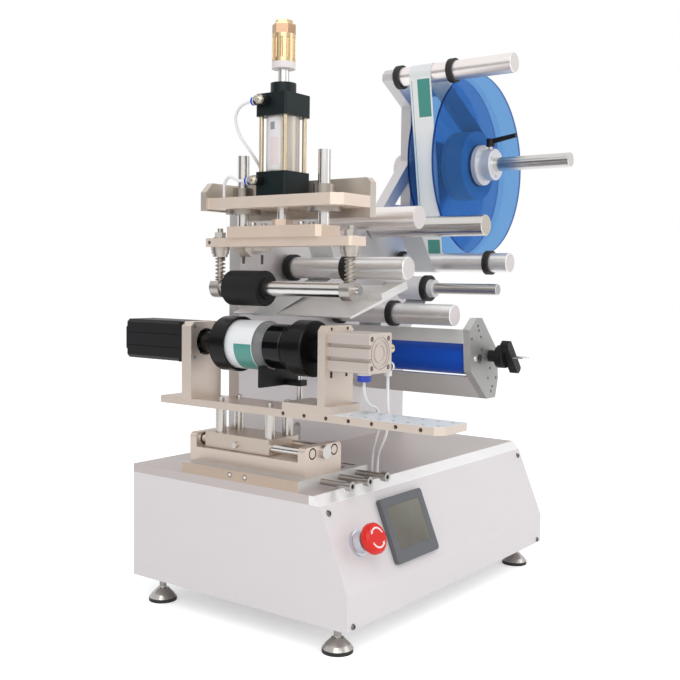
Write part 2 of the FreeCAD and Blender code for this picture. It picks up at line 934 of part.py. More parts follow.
def tail_end():
    """Turning tail chuck on the rod of a compact air cylinder, its bracket and the jar rest."""
    bore = tail_rod_radius + running_fit
    seat = tail_disc_end - tail_rod_seat
    ring_start = tail_start + tail_nose
    neck_start = ring_start + tail_ring
    hub_end = tail_disc_end + tail_hub
    profile = [
        (tail_start, 0),
        (tail_start, tail_nose_radius),
        (ring_start, tail_nose_radius),
        (ring_start, tail_ring_radius),
        (neck_start, tail_ring_radius),
        (neck_start, tail_neck_radius),
        (tail_disc_start, tail_neck_radius),
        (tail_disc_start, tail_disc_radius - 2),
        (tail_disc_start + 2, tail_disc_radius),
        (tail_disc_end - 2, tail_disc_radius),
        (tail_disc_end, tail_disc_radius - 2),
        (tail_disc_end, tail_hub_radius),
        (hub_end, tail_hub_radius),
        (hub_end, bore),
        (seat, bore),
        (seat, 0),
    ]
    write("tail_chuck", turned_y(profile, axis_x, axis_z))

    piston_start = tail_bracket_front + 8
    piston_end = piston_start + tail_piston
    profile = [
        (seat + moving_gap, 0),
        (seat + moving_gap, tail_rod_radius),
        (piston_start, tail_rod_radius),
        (piston_start, tail_cylinder_bore - running_fit),
        (piston_end, tail_cylinder_bore - running_fit),
        (piston_end, 0),
    ]
    write("tail_rod", turned_y(profile, axis_x, axis_z))

    foot_top = plate_top + tail_foot_thickness
    width = (plate_left, plate_right)
    foot = box(width, (-tail_foot_front, -tail_foot_back), (plate_top, foot_top))
    upright = box(
        width,
        (-tail_bracket_front, -tail_bracket_back),
        (foot_top, foot_top + tail_bracket_rise),
    )
    top_edges = [
        edge
        for edge in upright.Edges
        if abs(edge.CenterOfMass.z - foot_top - tail_bracket_rise) < 0.01
        and abs(edge.Length - tail_bracket_thickness) < 0.01
    ]
    upright = upright.makeChamfer(bracket_corner, top_edges)
    hole = rod_y(axis_x, axis_z, tail_rod_radius + running_fit, tail_bracket_back - 1, tail_bracket_front + 1)
    write("tail_bracket", cut(joined(foot, upright), hole))

    body = box(
        around(axis_x, tail_cylinder_side),
        (-tail_cylinder_front, -tail_bracket_front),
        around(axis_z, tail_cylinder_side),
    )
    body = rounded(body, 3, Y_AXIS)
    left = axis_x - tail_cylinder_side / 2
    tools = [
        rod_y(axis_x, axis_z, tail_rod_radius + running_fit, tail_bracket_front - 1, tail_cylinder_front - 8),
        rod_y(axis_x, axis_z, tail_cylinder_bore, tail_bracket_front + 4, tail_cylinder_front - 8),
        rod_y(axis_x, axis_z, tail_cover_radius, tail_cylinder_front - tail_cover_depth, tail_cylinder_front),
    ]
    for inner, outer in tail_cover_rings:
        tools.append(turned_y([
            (tail_cylinder_front - tail_cover_depth, inner),
            (tail_cylinder_front - tail_cover_depth, outer),
            (tail_cylinder_front, outer),
            (tail_cylinder_front, inner),
        ], axis_x, axis_z))
    for z in around(axis_z, tail_groove_pitch):
        tools.append(box((left, left + tail_groove), (-tail_cylinder_front, -tail_bracket_front),
                         around(z, tail_groove)))
    corner = tail_cylinder_side - 2 * tail_bolt_inset
    for x in around(axis_x, corner):
        for z in around(axis_z, corner):
            tools.append(rod_y(x, z, tail_bolt_radius, tail_cylinder_front - 6, tail_cylinder_front))
    write("tail_cylinder", cut(body, *tools))

    right = axis_x + tail_cylinder_side / 2
    bottom = axis_z - tail_cylinder_side / 2
    below = tail_cylinder_front - 24
    side_y = tail_cylinder_front - 9
    round_port = rod_z(axis_x, -below, tail_port_radius + 3, bottom - tail_port_length, bottom)
    ports = []
    for z in (bottom + 6, bottom + 20):
        ports.append(joined(
            rod_x(-side_y, z, tail_port_radius, right, right + tail_port_length),
            rod_z(right + tail_port_length / 2, -side_y, tail_port_radius - 1, z - tail_port_length, z),
        ))
    brass = rod_x(-side_y, axis_z + 4, tail_port_radius, right, right + tail_port_length)
    write("tail_fittings", round_port, ports[0], brass)

    near = rest_y
    far = rest_y + rest_thickness
    bottom = plate_top + rest_bottom
    plate = box((rest_left, rest_right), (-far, -near), (bottom, bottom + rest_height))
    plate = cut(plate, rod_y(axis_x, axis_z, lid_radius + rest_gap, near - 1, far + 1))
    tab = box(
        around(rest_post_x, rest_tab_width),
        (-rest_post_y - rest_tab_width / 2, -far),
        (bottom, bottom + rest_tab_height),
    )
    tab = cut(tab, rod_z(rest_post_x, -rest_post_y, rest_post_radius + running_fit, bottom - 1,
                         bottom + rest_tab_height + 1))
    post = rod_z(rest_post_x, -rest_post_y, rest_post_radius, plate_top, plate_top + rest_post_height)
    write("jar_rest", joined(plate, tab), post)


def wall_and_frame():
    """Main wall with its slots, and the reel frame that stands on it."""
    wall = box((wall_left, wall_right), (-wall_front, -wall_back), (cabinet_top, wall_top))
    arch_top = cabinet_top + wall_arch_height - wall_arch_radius
    tools = [
        box(around(wall_arch_x, 2 * wall_arch_radius), (-wall_front, -wall_back), (cabinet_top, arch_top)),
        rod_y(wall_arch_x, arch_top, wall_arch_radius, wall_back, wall_front),
    ]
    for x in wall_slot_xs:
        tools.append(box(
            around(x, wall_slot_width),
            (-wall_front, -wall_front + 8),
            (wall_slot_bottom, wall_slot_bottom + wall_slot_length),
        ))
    for x, z in fixed_shafts():
        if z < wall_top:
            tools.append(rod_y(x, z, roller_shaft_radius + running_fit, wall_back, wall_front))
    tools.append(rod_y(traction_x, traction_z, traction_shaft_radius + running_fit, wall_back, wall_front))
    tools.append(rod_y(nip_x, nip_z, nip_shaft_radius + running_fit, wall_back, wall_front))
    tools.append(rod_y(rewind_x, rewind_z, rewind_radius + running_fit, wall_back, wall_front))
    write("main_wall", cut(wall, *tools))

    tip_top = top_roller_z + frame_tip_radius
    outline = [
        (frame_foot_left, wall_top),
        (frame_post_left, frame_brace_top),
        (frame_post_left, frame_arm_bottom),
        (top_roller_x - frame_tip_radius, top_roller_z - 0.4 * frame_tip_radius),
        (top_roller_x - frame_tip_radius, top_roller_z + 0.4 * frame_tip_radius),
        (top_roller_x - 0.4 * frame_tip_radius, tip_top),
        (frame_arm_right, tip_top),
        (frame_arm_right, tip_top - frame_arm_depth),
        (frame_post_right, tip_top - 1.6 * frame_arm_depth),
        (frame_post_right, reel_z + frame_hub_radius),
        (reel_x + 0.5 * frame_hub_radius, reel_z + frame_hub_radius),
        (reel_x + frame_hub_radius, reel_z + 0.5 * frame_hub_radius),
        (reel_x + frame_hub_radius, reel_z - 0.5 * frame_hub_radius),
        (frame_foot_right, wall_top),
    ]
    frame = prism_y(outline, wall_back, wall_front)
    low = wall_top + frame_window_lift
    window_left = frame_foot_left + frame_window_inset
    window = [
        (window_left, low),
        (window_left + frame_window_width, low),
        (window_left + frame_window_width, low + frame_window_width),
    ]
    frame = cut(
        frame,
        prism_y(window, wall_back - 1, wall_front + 1),
        rod_y(top_roller_x, top_roller_z, roller_shaft_radius + running_fit, wall_back - 1, wall_front + 1),
        rod_y(reel_x, reel_z, reel_seat_radius + running_fit, wall_back - 1, wall_front + 1),
    )
    brake_back = wall_back - brake_length
    brake = cut(
        rod_y(reel_x, reel_z, brake_radius, brake_back, wall_back),
        rod_y(reel_x, reel_z, reel_seat_radius + running_fit, brake_back + 6, wall_back),
    )
    write("reel_frame", frame, brake)


def fixed_shafts():
    """Gives x and z of every roller that turns on a fixed shaft."""
    return [
        (top_roller_x, top_roller_z),
        (white_roller_x, white_roller_z),
        (chrome_roller_x, chrome_roller_z),
        (nose_roller_x, nose_roller_z),
        (dancer_roller_x, dancer_roller_z),
        (return_roller_x, return_roller_z),
    ]


def roller(x, z, radius, reach, collars=()):
    """Makes a roller with a blind bore, and rings that are as wide as collar_width."""
    back = wall_front + roller_back_gap
    front = wall_front + reach
    bore = roller_shaft_radius + running_fit
    profile = [(back, bore), (back, radius)]
    for collar in collars:
        profile += [
            (collar, radius),
            (collar, radius + collar_rise),
            (collar + collar_width, radius + collar_rise),
            (collar + collar_width, radius),
        ]
    profile += [
        (front - 1, radius),
        (front, radius - 1),
        (front, 0),
        (front - roller_end_wall, 0),
        (front - roller_end_wall, bore),
    ]
    return turned_y(profile, x, z)


def web_rollers():
    """Six guide rollers on shafts that the wall and the reel frame hold."""
    back_collar = wall_front + roller_back_gap + collar_gap
    reaches = (
        top_roller_reach,
        white_roller_reach,
        chrome_roller_reach,
        nose_roller_reach,
        dancer_roller_reach,
        return_roller_reach,
    )
    shafts = []
    for (x, z), reach in zip(fixed_shafts(), reaches):
        end = wall_front + reach - roller_end_wall - moving_gap
        shafts.append(rod_y(x, z, roller_shaft_radius, wall_back, end))
    write("roller_shafts", *shafts)
    write("top_roller", roller(
        top_roller_x, top_roller_z, roller_radius, top_roller_reach, (back_collar, near_collar_y)))
    write("white_roller", roller(white_roller_x, white_roller_z, roller_radius, white_roller_reach))
    write("chrome_roller", roller(
        chrome_roller_x, chrome_roller_z, chrome_roller_radius, chrome_roller_reach))
    write("nose_roller", roller(
        nose_roller_x, nose_roller_z, roller_radius, nose_roller_reach, (back_collar, near_collar_y)))
    write("dancer_roller", roller(
        dancer_roller_x, dancer_roller_z, roller_radius, dancer_roller_reach,
        (back_collar, dancer_collar_y)))
    write("return_roller", roller(
        return_roller_x, return_roller_z, roller_radius, return_roller_reach,
        (back_collar, near_collar_y)))


def reel():
    """Two clear discs and the label roll on a spindle, with the collar and its clamp lever."""
    bore = reel_seat_radius + running_fit
    discs = []
    for start in (reel_far_face, reel_far_face + reel_disc_thickness + reel_gap):
        end = start + reel_disc_thickness
        discs.append(turned_y([
            (start, bore), (start, reel_radius), (end, reel_radius), (end, bore),
        ], reel_x, reel_z))
    write("reel_discs", *discs)
    start = reel_far_face + reel_disc_thickness + 0.5
    end = start + reel_gap - 1
    write("label_roll", turned_y([
        (start, bore),
        (start, reel_core_radius),
        (start + 0.5, reel_core_radius),
        (start + 0.5, reel_roll_radius),
        (end - 0.5, reel_roll_radius),
        (end - 0.5, reel_core_radius),
        (end, reel_core_radius),
        (end, bore),
    ], reel_x, reel_z))

    brake_seat = wall_back - brake_length + 6 + moving_gap
    back_flange = wall_front + roller_back_gap
    profile = [
        (brake_seat, 0),
        (brake_seat, reel_seat_radius),
        (back_flange, reel_seat_radius),
        (back_flange, 0.8 * reel_flange_radius),
        (reel_far_face - reel_flange, 0.8 * reel_flange_radius),
        (reel_far_face - reel_flange, reel_flange_radius),
        (reel_far_face, reel_flange_radius),
        (reel_far_face, reel_seat_radius),
        (reel_collar_front, reel_seat_radius),
        (reel_collar_front, reel_spindle_radius),
        (reel_spindle_end - 1, reel_spindle_radius),
        (reel_spindle_end, reel_spindle_radius - 1),
        (reel_spindle_end, 0),
    ]
    spindle = turned_y(profile, reel_x, reel_z)
    profile = [
        (reel_near_face, bore),
        (reel_near_face, reel_flange_radius),
        (reel_collar_back, reel_flange_radius),
        (reel_collar_back, reel_collar_radius),
        (reel_collar_front - 1, reel_collar_radius),
        (reel_collar_front, reel_collar_radius - 1),
        (reel_collar_front, bore),
    ]
    collar = turned_y(profile, reel_x, reel_z)
    stud_y = -(reel_collar_back + reel_collar_front) / 2
    stud_seat = reel_z + reel_collar_radius - 8
    stud_hole = rod_z(reel_x, stud_y, lever_stud_radius + running_fit, stud_seat, reel_z + reel_radius)
    write("reel_spindle", spindle, cut(collar, stud_hole))

    hub_bottom = reel_z + reel_collar_radius + lever_stud - lever_hub_radius
    hub_top = hub_bottom + lever_hub
    stud = rod_z(reel_x, stud_y, lever_stud_radius, stud_seat + moving_gap, hub_top)
    hub = rod_z(reel_x, stud_y, lever_hub_radius, hub_bottom, hub_top)
    arm_z = hub_top - lever_tip_radius - 1
    start = Part.Wire(Part.makeCircle(lever_tip_radius + 1, Vector(reel_x, stud_y, arm_z), Y_AXIS))
    tip_place = Vector(reel_x, stud_y - lever_length, arm_z + lever_rise)
    tip = Part.Wire(Part.makeCircle(lever_tip_radius, tip_place, Y_AXIS))
    arm = Part.makeLoft([start, tip], True)
    write("clamp_lever", joined(stud, hub, arm))


def peel_unit():
    """Sharp plate that the web turns over, the bar that clamps it to the wall and its stiffening rib."""
    slope = math.radians(peel_angle)
    along = (math.cos(slope), math.sin(slope))
    down = (math.sin(slope), -math.cos(slope))

    def place(distance, depth):
        return (
            peel_tip_x + along[0] * distance + down[0] * depth,
            peel_tip_z + along[1] * distance + down[1] * depth,
        )

    outline = [
        place(0, -peel_tip_radius),
        place(peel_length, -peel_tip_radius),
        place(peel_length, peel_thickness - peel_tip_radius),
        place(peel_taper, peel_thickness - peel_tip_radius),
        place(0, peel_tip_radius),
    ]
    plate = prism_y(outline, wall_front, peel_front)
    nose = rod_y(peel_tip_x, peel_tip_z, peel_tip_radius, wall_front, peel_front)
    bar = [
        place(peel_length - peel_bar_length, peel_thickness - peel_tip_radius),
        place(peel_length, peel_thickness - peel_tip_radius),
        place(peel_length, peel_thickness + peel_bar_depth),
        place(peel_length - peel_bar_length, peel_thickness + peel_bar_depth),
    ]
    rib = [
        place(peel_rib_start, -peel_tip_radius),
        place(peel_length, -peel_tip_radius),
        place(peel_length, -peel_tip_radius - peel_rib_height),
        place(peel_rib_start, -peel_tip_radius - peel_rib_height),
    ]
    write(
        "peel_plate",
        joined(plate, nose),
        prism_y(bar, wall_front, wall_front + peel_bar_width),
        prism_y(rib, peel_front - peel_rib_width, peel_front),
    )


def traction_unit():
    """Blue traction roller between the wall and an end plate, its nip, knob and rewind shaft."""
    end_front = traction_front + traction_plate
    outline = [(traction_x + dx, traction_z + dz) for dx, dz in traction_outline]
    holes = [
        rod_y(traction_x + dx, traction_z + dz, traction_hole_radius, traction_front, end_front)
        for dx, dz in traction_holes
    ]
    plate = cut(
        prism_y(outline, traction_front, end_front),
        rod_y(traction_x, traction_z, traction_shaft_radius + running_fit, traction_front, end_front),
        rod_y(nip_x, nip_z, nip_shaft_radius + running_fit, traction_front, end_front),
        *holes,
    )
    write("traction_end_plate", plate)
    left, top = outline[0]
    upper = [
        (left, top),
        (left + traction_cover, top),
        (left + traction_cover, top - traction_upper_cover),
        (left, top - traction_upper_cover),
    ]
    (right, low), (middle, _), (far_left, high) = outline[5:]
    start_x = far_left + traction_lower_start * (middle - far_left)
    start_z = high + traction_lower_start * (low - high)
    lower = [
        (start_x, start_z), (middle, low), (right, low), (right, low + traction_cover),
        (middle + 0.4 * traction_cover, low + traction_cover),
        (start_x + traction_cover, start_z + 0.5 * traction_cover),
    ]
    write(
        "traction_covers",
        prism_y(upper, wall_front, traction_front),
        prism_y(lower, wall_front, traction_front),
    )

    roller_back = wall_front + roller_back_gap
    roller_front = traction_front - roller_back_gap
    profile = [
        (wall_back, 0),
        (wall_back, traction_shaft_radius),
        (roller_back, traction_shaft_radius),
        (roller_back, traction_radius),
        (roller_front, traction_radius),
        (roller_front, traction_shaft_radius),
        (end_front, traction_shaft_radius),
        (end_front, 0),
    ]
    write("traction_roller", turned_y(profile, traction_x, traction_z))

    neck_end = end_front + moving_gap + knob_neck
    profile = [
        (wall_back, 0),
        (wall_back, nip_shaft_radius),
        (roller_back, nip_shaft_radius),
        (roller_back, nip_radius),
        (roller_front, nip_radius),
        (roller_front, nip_shaft_radius),
        (end_front + moving_gap, nip_shaft_radius),
        (end_front + moving_gap, knob_neck_radius),
        (neck_end, knob_neck_radius),
        (neck_end, knob_hub_radius - 1),
        (neck_end + 1, knob_hub_radius),
        (neck_end + knob_hub - 1, knob_hub_radius),
        (neck_end + knob_hub, knob_hub_radius - 1),
        (neck_end + knob_hub, 0),
    ]
    shaft = turned_y(profile, nip_x, nip_z)
    wing_start = neck_end + knob_hub
    wing_end = wing_start + knob_length
    wing = rounded(box(
        around(nip_x, knob_thickness),
        (-wing_end, -wing_start),
        around(nip_z, knob_span),
    ), 0.35 * knob_thickness, Y_AXIS)
    wing.rotate(Vector(nip_x, 0, nip_z), Y_AXIS, -knob_tilt)
    fork_left = nip_x - knob_fork_radius
    fork_right = nip_x + knob_fork_radius
    fork_start = 2 - wing_end
    fork_bend = -wing_end - knob_fork_length
    path = Part.Wire([
        Part.makeLine(Vector(fork_left, fork_start, nip_z), Vector(fork_left, fork_bend, nip_z)),
        Part.Arc(
            Vector(fork_left, fork_bend, nip_z),
            Vector(nip_x, fork_bend - knob_fork_radius, nip_z),
            Vector(fork_right, fork_bend, nip_z),
        ).toShape(),
        Part.makeLine(Vector(fork_right, fork_bend, nip_z), Vector(fork_right, fork_start, nip_z)),
    ])
    section = Part.Wire(Part.makeCircle(knob_fork_wire, Vector(fork_left, fork_start, nip_z), Y_AXIS))
    fork = path.makePipeShell([section], True, True)
    write("wing_knob", joined(shaft, wing, fork))

    hub_back = web_back - 2
    roll_end = web_back + web_width + 2
    collar_end = roll_end + rewind_collar
    profile = [
        (wall_back, 0),
        (wall_back, rewind_radius),
        (hub_back, rewind_radius),
        (hub_back, rewind_roll_radius),
        (roll_end, rewind_roll_radius),
        (roll_end, rewind_collar_radius),
        (collar_end, rewind_collar_radius),
        (collar_end, rewind_hub_radius),
        (collar_end + rewind_hub, rewind_hub_radius),
        (collar_end + rewind_hub, rewind_radius),
        (rewind_front - 1, rewind_radius),
        (rewind_front, rewind_radius - 1),
        (rewind_front, 0),
    ]
    write("rewind_shaft", turned_y(profile, rewind_x, rewind_z))


def web_sides(wheels, offset):
    """Gives the edges of one side of a web that runs round wheels.

    Each wheel is (x, z, radius, sense), with sense 1 where the web goes round it anticlockwise. Every
    straight run touches two wheels, and lies offset to the left of the middle of the web.
    """
    runs = []
    for (x1, z1, r1, s1), (x2, z2, r2, s2) in zip(wheels, wheels[1:]):
        length = math.hypot(x2 - x1, z2 - z1)
        normal = math.atan2(z2 - z1, x2 - x1) + math.acos((s2 * r2 - s1 * r1) / length)
        side = Vector(math.cos(normal), 0, math.sin(normal))
        start = Vector(x1, -web_back, z1) + side * (offset - s1 * r1)
        end = Vector(x2, -web_back, z2) + side * (offset - s2 * r2)
        runs.append((start, end, normal))
    edges = []
    for index, (start, end, normal) in enumerate(runs):
        edges.append(Part.makeLine(start, end))
        if index + 1 < len(runs):
            x, z, radius, sense = wheels[index + 1]
            turn = (sense * (runs[index + 1][2] - normal)) % (2 * math.pi)
            middle = normal + sense * turn / 2
            reach = offset - sense * radius
            through = Vector(x + reach * math.cos(middle), -web_back, z + reach * math.sin(middle))
            edges.append(Part.Arc(end, through, runs[index + 1][0]).toShape())
    return edges


def label_web():
    """Web from the label roll over the rollers, round the peel plate and on to the rewind shaft."""
    stand_off = web_gap + web_thickness / 2
    wheels = [
        (reel_x, reel_z, reel_roll_radius + stand_off, 1),
        (top_roller_x, top_roller_z, roller_radius + stand_off, 1),
        (dancer_roller_x, dancer_roller_z, roller_radius + stand_off, -1),
        (chrome_roller_x, chrome_roller_z, chrome_roller_radius + stand_off, 1),
        (white_roller_x, white_roller_z, roller_radius + stand_off, 1),
        (nose_roller_x, nose_roller_z, roller_radius + stand_off, -1),
        (peel_tip_x, peel_tip_z, peel_tip_radius + stand_off, 1),
        (return_roller_x, return_roller_z, roller_radius + stand_off, -1),
        (traction_x, traction_z, traction_radius + stand_off, 1),
        (nip_x, nip_z, nip_radius + stand_off, -1),
        (rewind_x, rewind_z, rewind_roll_radius + stand_off, 1),
    ]
    left = web_sides(wheels, web_thickness / 2)
    right = web_sides(wheels, -web_thickness / 2)
    cap_start = Part.makeLine(left[0].Vertexes[0].Point, right[0].Vertexes[0].Point)
    cap_end = Part.makeLine(left[-1].Vertexes[-1].Point, right[-1].Vertexes[-1].Point)
    outline = Part.Wire(Part.__sortEdges__(left + right + [cap_start, cap_end]))
    web = Part.Face(outline).extrude(Vector(0, -web_width, 0))
    write("label_web", web)


def press_frame():
    """Fixed plates of the press unit, its guide bearings and its air cylinder."""
    top = press_plate_top
    back_edge = wall_front + press_back_thickness
    back = prism_y([
        (press_back_left, press_plate_z - 2),
        (press_back_right, press_plate_z - 2),
        (press_back_right, press_back_top),
        (press_back_left + 13, press_back_top),
        (press_back_left, press_back_top - 13),
    ], wall_front, back_edge)
    rib = prism_x([
        (-back_edge, press_rib_bottom),
        (-back_edge, press_rib_top),
        (-press_plate_front + press_rib_nose, press_rib_top),
        (-press_plate_front, press_rib_top - press_rib_nose),
        (-press_plate_front, press_rib_bottom),
    ], press_plate_right, press_plate_right + press_rib_thickness)
    lug = prism_y([
        (press_lug_left, press_lug_top),
        (press_lug_right, press_lug_top),
        (press_lug_right, press_lug_top - press_lug_thickness),
        (press_lug_left + press_lug_drop, press_lug_top - press_lug_thickness),
        (press_lug_left + 1.4 * press_lug_drop, press_lug_top - press_lug_drop),
        (press_lug_left + press_lug_drop, press_lug_top - press_lug_drop),
        (press_lug_left, press_lug_top - press_lug_thickness),
    ], wall_front, wall_front + press_lug_width)
    write("press_bracket", back, rib, lug)

    plate = prism_z([
        (press_plate_left, -back_edge),
        (press_plate_right, -back_edge),
        (press_plate_right, -press_plate_front),
        (press_plate_left + press_plate_chamfer, -press_plate_front),
        (press_plate_left, -press_plate_front + press_plate_chamfer),
    ], press_plate_z, top)
    tools = [rod_z(axis_x, -press_y, press_rod_radius + running_fit, press_plate_z - 1, top + 1)]
    guide_ys = around(-press_y, guide_rod_spacing)
    for y in guide_ys:
        tools.append(rod_z(axis_x, y, guide_bush_radius + running_fit, press_plate_z - 1, top + 1))
    write("cylinder_plate", cut(plate, *tools))

    bearings = []
    for y in guide_ys:
        flange = rod_z(axis_x, y, guide_flange_radius, press_plate_z - guide_flange_thickness, press_plate_z)
        barrel = rod_z(axis_x, y, guide_bush_radius, press_plate_z - guide_flange_thickness, guide_bush_top)
        bore = rod_z(axis_x, y, guide_rod_radius + running_fit,
                     press_plate_z - guide_flange_thickness - 1, guide_bush_top + 1)
        bearings.append(cut(joined(flange, barrel), bore))
    write("guide_bearings", *bearings)

    side_x = around(axis_x, cylinder_side)
    side_y = around(-press_y, cylinder_side)
    rod_bore = rod_z(axis_x, -press_y, press_rod_radius + running_fit, top - 1, boss_top + 1)
    tie_rods = []
    tie_bores = []
    for x in around(axis_x, tie_rod_spacing):
        for y in around(-press_y, tie_rod_spacing):
            tie_rods.append(rod_z(x, y, tie_rod_radius, lower_cap_top - 8, upper_cap_top))
            tie_bores.append(rod_z(x, y, tie_rod_radius + running_fit, lower_cap_top - 8, upper_cap_top + 1))
    lower = rounded(box(side_x, side_y, (top, lower_cap_top)), cap_corner, Z_AXIS)
    upper = rounded(box(side_x, side_y, (barrel_top, upper_cap_top)), cap_corner, Z_AXIS)
    upper = joined(upper, rod_z(axis_x, -press_y, cylinder_boss_radius, upper_cap_top, boss_top))
    write(
        "cylinder_caps",
        cut(lower, rod_bore, *tie_bores),
        cut(upper, rod_bore, *tie_bores),
        *tie_rods,
    )
    barrel = cut(
        rod_z(axis_x, -press_y, barrel_radius, lower_cap_top, barrel_top),
        rod_z(axis_x, -press_y, cylinder_bore, lower_cap_top - 1, barrel_top + 1),
        *tie_bores,
    )
    write("cylinder_barrel", barrel)

    elbows = []
    for y, z in elbow_places():
        left = side_x[0]
        body = rod_x(y, z, elbow_radius, left - elbow_reach, left)
        turn = Part.makeCylinder(
            elbow_outlet_radius, elbow_tail + elbow_side / 2, Vector(left - elbow_reach + 6, y, z), Y_AXIS)
        corner = elbow_hex / math.sqrt(3)
        turns = [math.radians(60 * step) for step in range(6)]
        hex_end = left - elbow_reach - elbow_hex_length
        lock = prism_x([(y + corner * math.cos(a), z + corner * math.sin(a)) for a in turns],
                       hex_end, left - elbow_reach)
        screw = rod_x(y, z, elbow_screw_radius, hex_end - elbow_screw, hex_end)
        elbows.append(joined(body, turn, lock, screw))
    write("air_elbows", *elbows)


def elbow_places():
    """Gives y and z of the two ports of the press cylinder."""
    return [
        (-press_y + 6, upper_cap_top - upper_cap / 2 + 4),
        (-press_y + 16, press_plate_top + lower_cap / 2 + 4),
    ]


def coil_spring(x, y):
    """Makes a spring between its eye and its bushing, lofted through square sections of its wire."""
    height = bush_bottom - spring_bottom - 2 * spring_wire
    steps = spring_turns * spring_facets
    sections = []
    for step in range(steps + 1):
        turn = 2 * math.pi * step / spring_facets
        level = spring_bottom + spring_wire + height * step / steps
        outward = Vector(math.cos(turn), math.sin(turn), 0)
        centre = Vector(x, y, level) + outward * spring_radius
        ring = []
        for side, lift in ((-1, 0), (0, -1), (1, 0), (0, 1)):
            ring.append(centre + outward * (side * spring_wire) + Z_AXIS * (lift * spring_wire))
        sections.append(Part.makePolygon(ring + ring[:1]))
    return Part.makeLoft(sections, True, True)


def press_slide():
    """Everything that the press cylinder moves: rod with stop sleeve, crosshead, guides and bar."""
    piston_bottom = barrel_top - press_piston - 6
    rod_top = sleeve_top + stop_nut + stop_lock
    profile = [
        (crosshead_bottom, 0),
        (crosshead_bottom, press_rod_radius),
        (piston_bottom, press_rod_radius),
        (piston_bottom, cylinder_bore - running_fit),
        (piston_bottom + press_piston, cylinder_bore - running_fit),
        (piston_bottom + press_piston, press_rod_radius),
        (rod_top, press_rod_radius),
        (rod_top, 0),
    ]
    write("press_rod", turned_z(profile, axis_x, -press_y))

    bore = rod_z(axis_x, -press_y, press_rod_radius + running_fit, washer_bottom - 1, rod_top + 1)
    washer = rod_z(axis_x, -press_y, stop_washer_radius, washer_bottom, sleeve_bottom)
    sleeve = rod_z(axis_x, -press_y, stop_sleeve_radius, sleeve_bottom, sleeve_top)
    flutes = []
    for step in range(stop_flutes):
        turn = 2 * math.pi * step / stop_flutes
        flutes.append(rod_z(
            axis_x + stop_sleeve_radius * math.cos(turn),
            -press_y + stop_sleeve_radius * math.sin(turn),
            stop_flute_radius, sleeve_bottom + 5, sleeve_top - 5,
        ))
    nut = hexagon(axis_x, -press_y, stop_nut_across, sleeve_top, sleeve_top + stop_nut)
    lock = hexagon(axis_x, -press_y, stop_lock_across, sleeve_top + stop_nut, rod_top)
    gold = cut(joined(sleeve, nut, lock), bore, *flutes)
    write("stroke_sleeve", gold, cut(washer, bore))

    middle = crosshead_left + crosshead_width / 2
    side_y = around(-press_y, crosshead_length)
    head = prism_z([
        (crosshead_left, side_y[1]),
        (crosshead_left + crosshead_width, side_y[1]),
        (crosshead_left + crosshead_width, side_y[0]),
        (crosshead_left + crosshead_chamfer, side_y[0]),
        (crosshead_left, side_y[0] + crosshead_chamfer),
    ], crosshead_bottom, crosshead_top)
    guide_ys = around(-press_y, guide_rod_spacing)
    tools = [rod_z(axis_x, -press_y, press_rod_radius + running_fit, crosshead_bottom - 1, crosshead_top + 20)]
    for y in guide_ys:
        tools.append(rod_z(axis_x, y, guide_rod_radius + running_fit, crosshead_bottom - 1, crosshead_top + 1))
    nut = cut(hexagon(axis_x, -press_y, rod_nut_across, crosshead_top, crosshead_top + rod_nut_height), tools[0])
    write("crosshead", cut(head, *tools), nut)
    write("press_guide_rods", *[
        rod_z(axis_x, y, guide_rod_radius, crosshead_bottom, guide_rod_top) for y in guide_ys
    ])

    bar = box(around(middle, bar_width), around(-press_y, bar_length), (bar_bottom, crosshead_bottom))
    bar = rounded(bar, cap_corner, Z_AXIS)
    pieces = []
    holes = []
    for y in around(-press_y, pin_spacing):
        bore = rod_z(axis_x, y, pin_radius + running_fit, bush_bottom - 1, crosshead_top)
        flange = turned_z([
            (bush_bottom, 0),
            (bush_bottom, 0.8 * bush_flange_radius),
            (bush_bottom + 0.3 * bush_flange, 0.8 * bush_flange_radius),
            (bush_bottom + 0.3 * bush_flange, 0.94 * bush_flange_radius),
            (bush_bottom + 0.65 * bush_flange, 0.94 * bush_flange_radius),
            (bush_bottom + 0.65 * bush_flange, bush_flange_radius),
            (bar_bottom, bush_flange_radius),
            (bar_bottom, 0),
        ], axis_x, y)
        barrel = rod_z(axis_x, y, bush_barrel_radius, bar_bottom, crosshead_bottom)
        pieces.append(cut(joined(flange, barrel), bore))
        holes.append(rod_z(axis_x, y, bush_barrel_radius + running_fit, bar_bottom - 1, crosshead_bottom + 1))
    write("cross_bar", cut(bar, *holes), *pieces)

    write("presser_springs", *[coil_spring(axis_x, y) for y in around(-press_y, pin_spacing)])


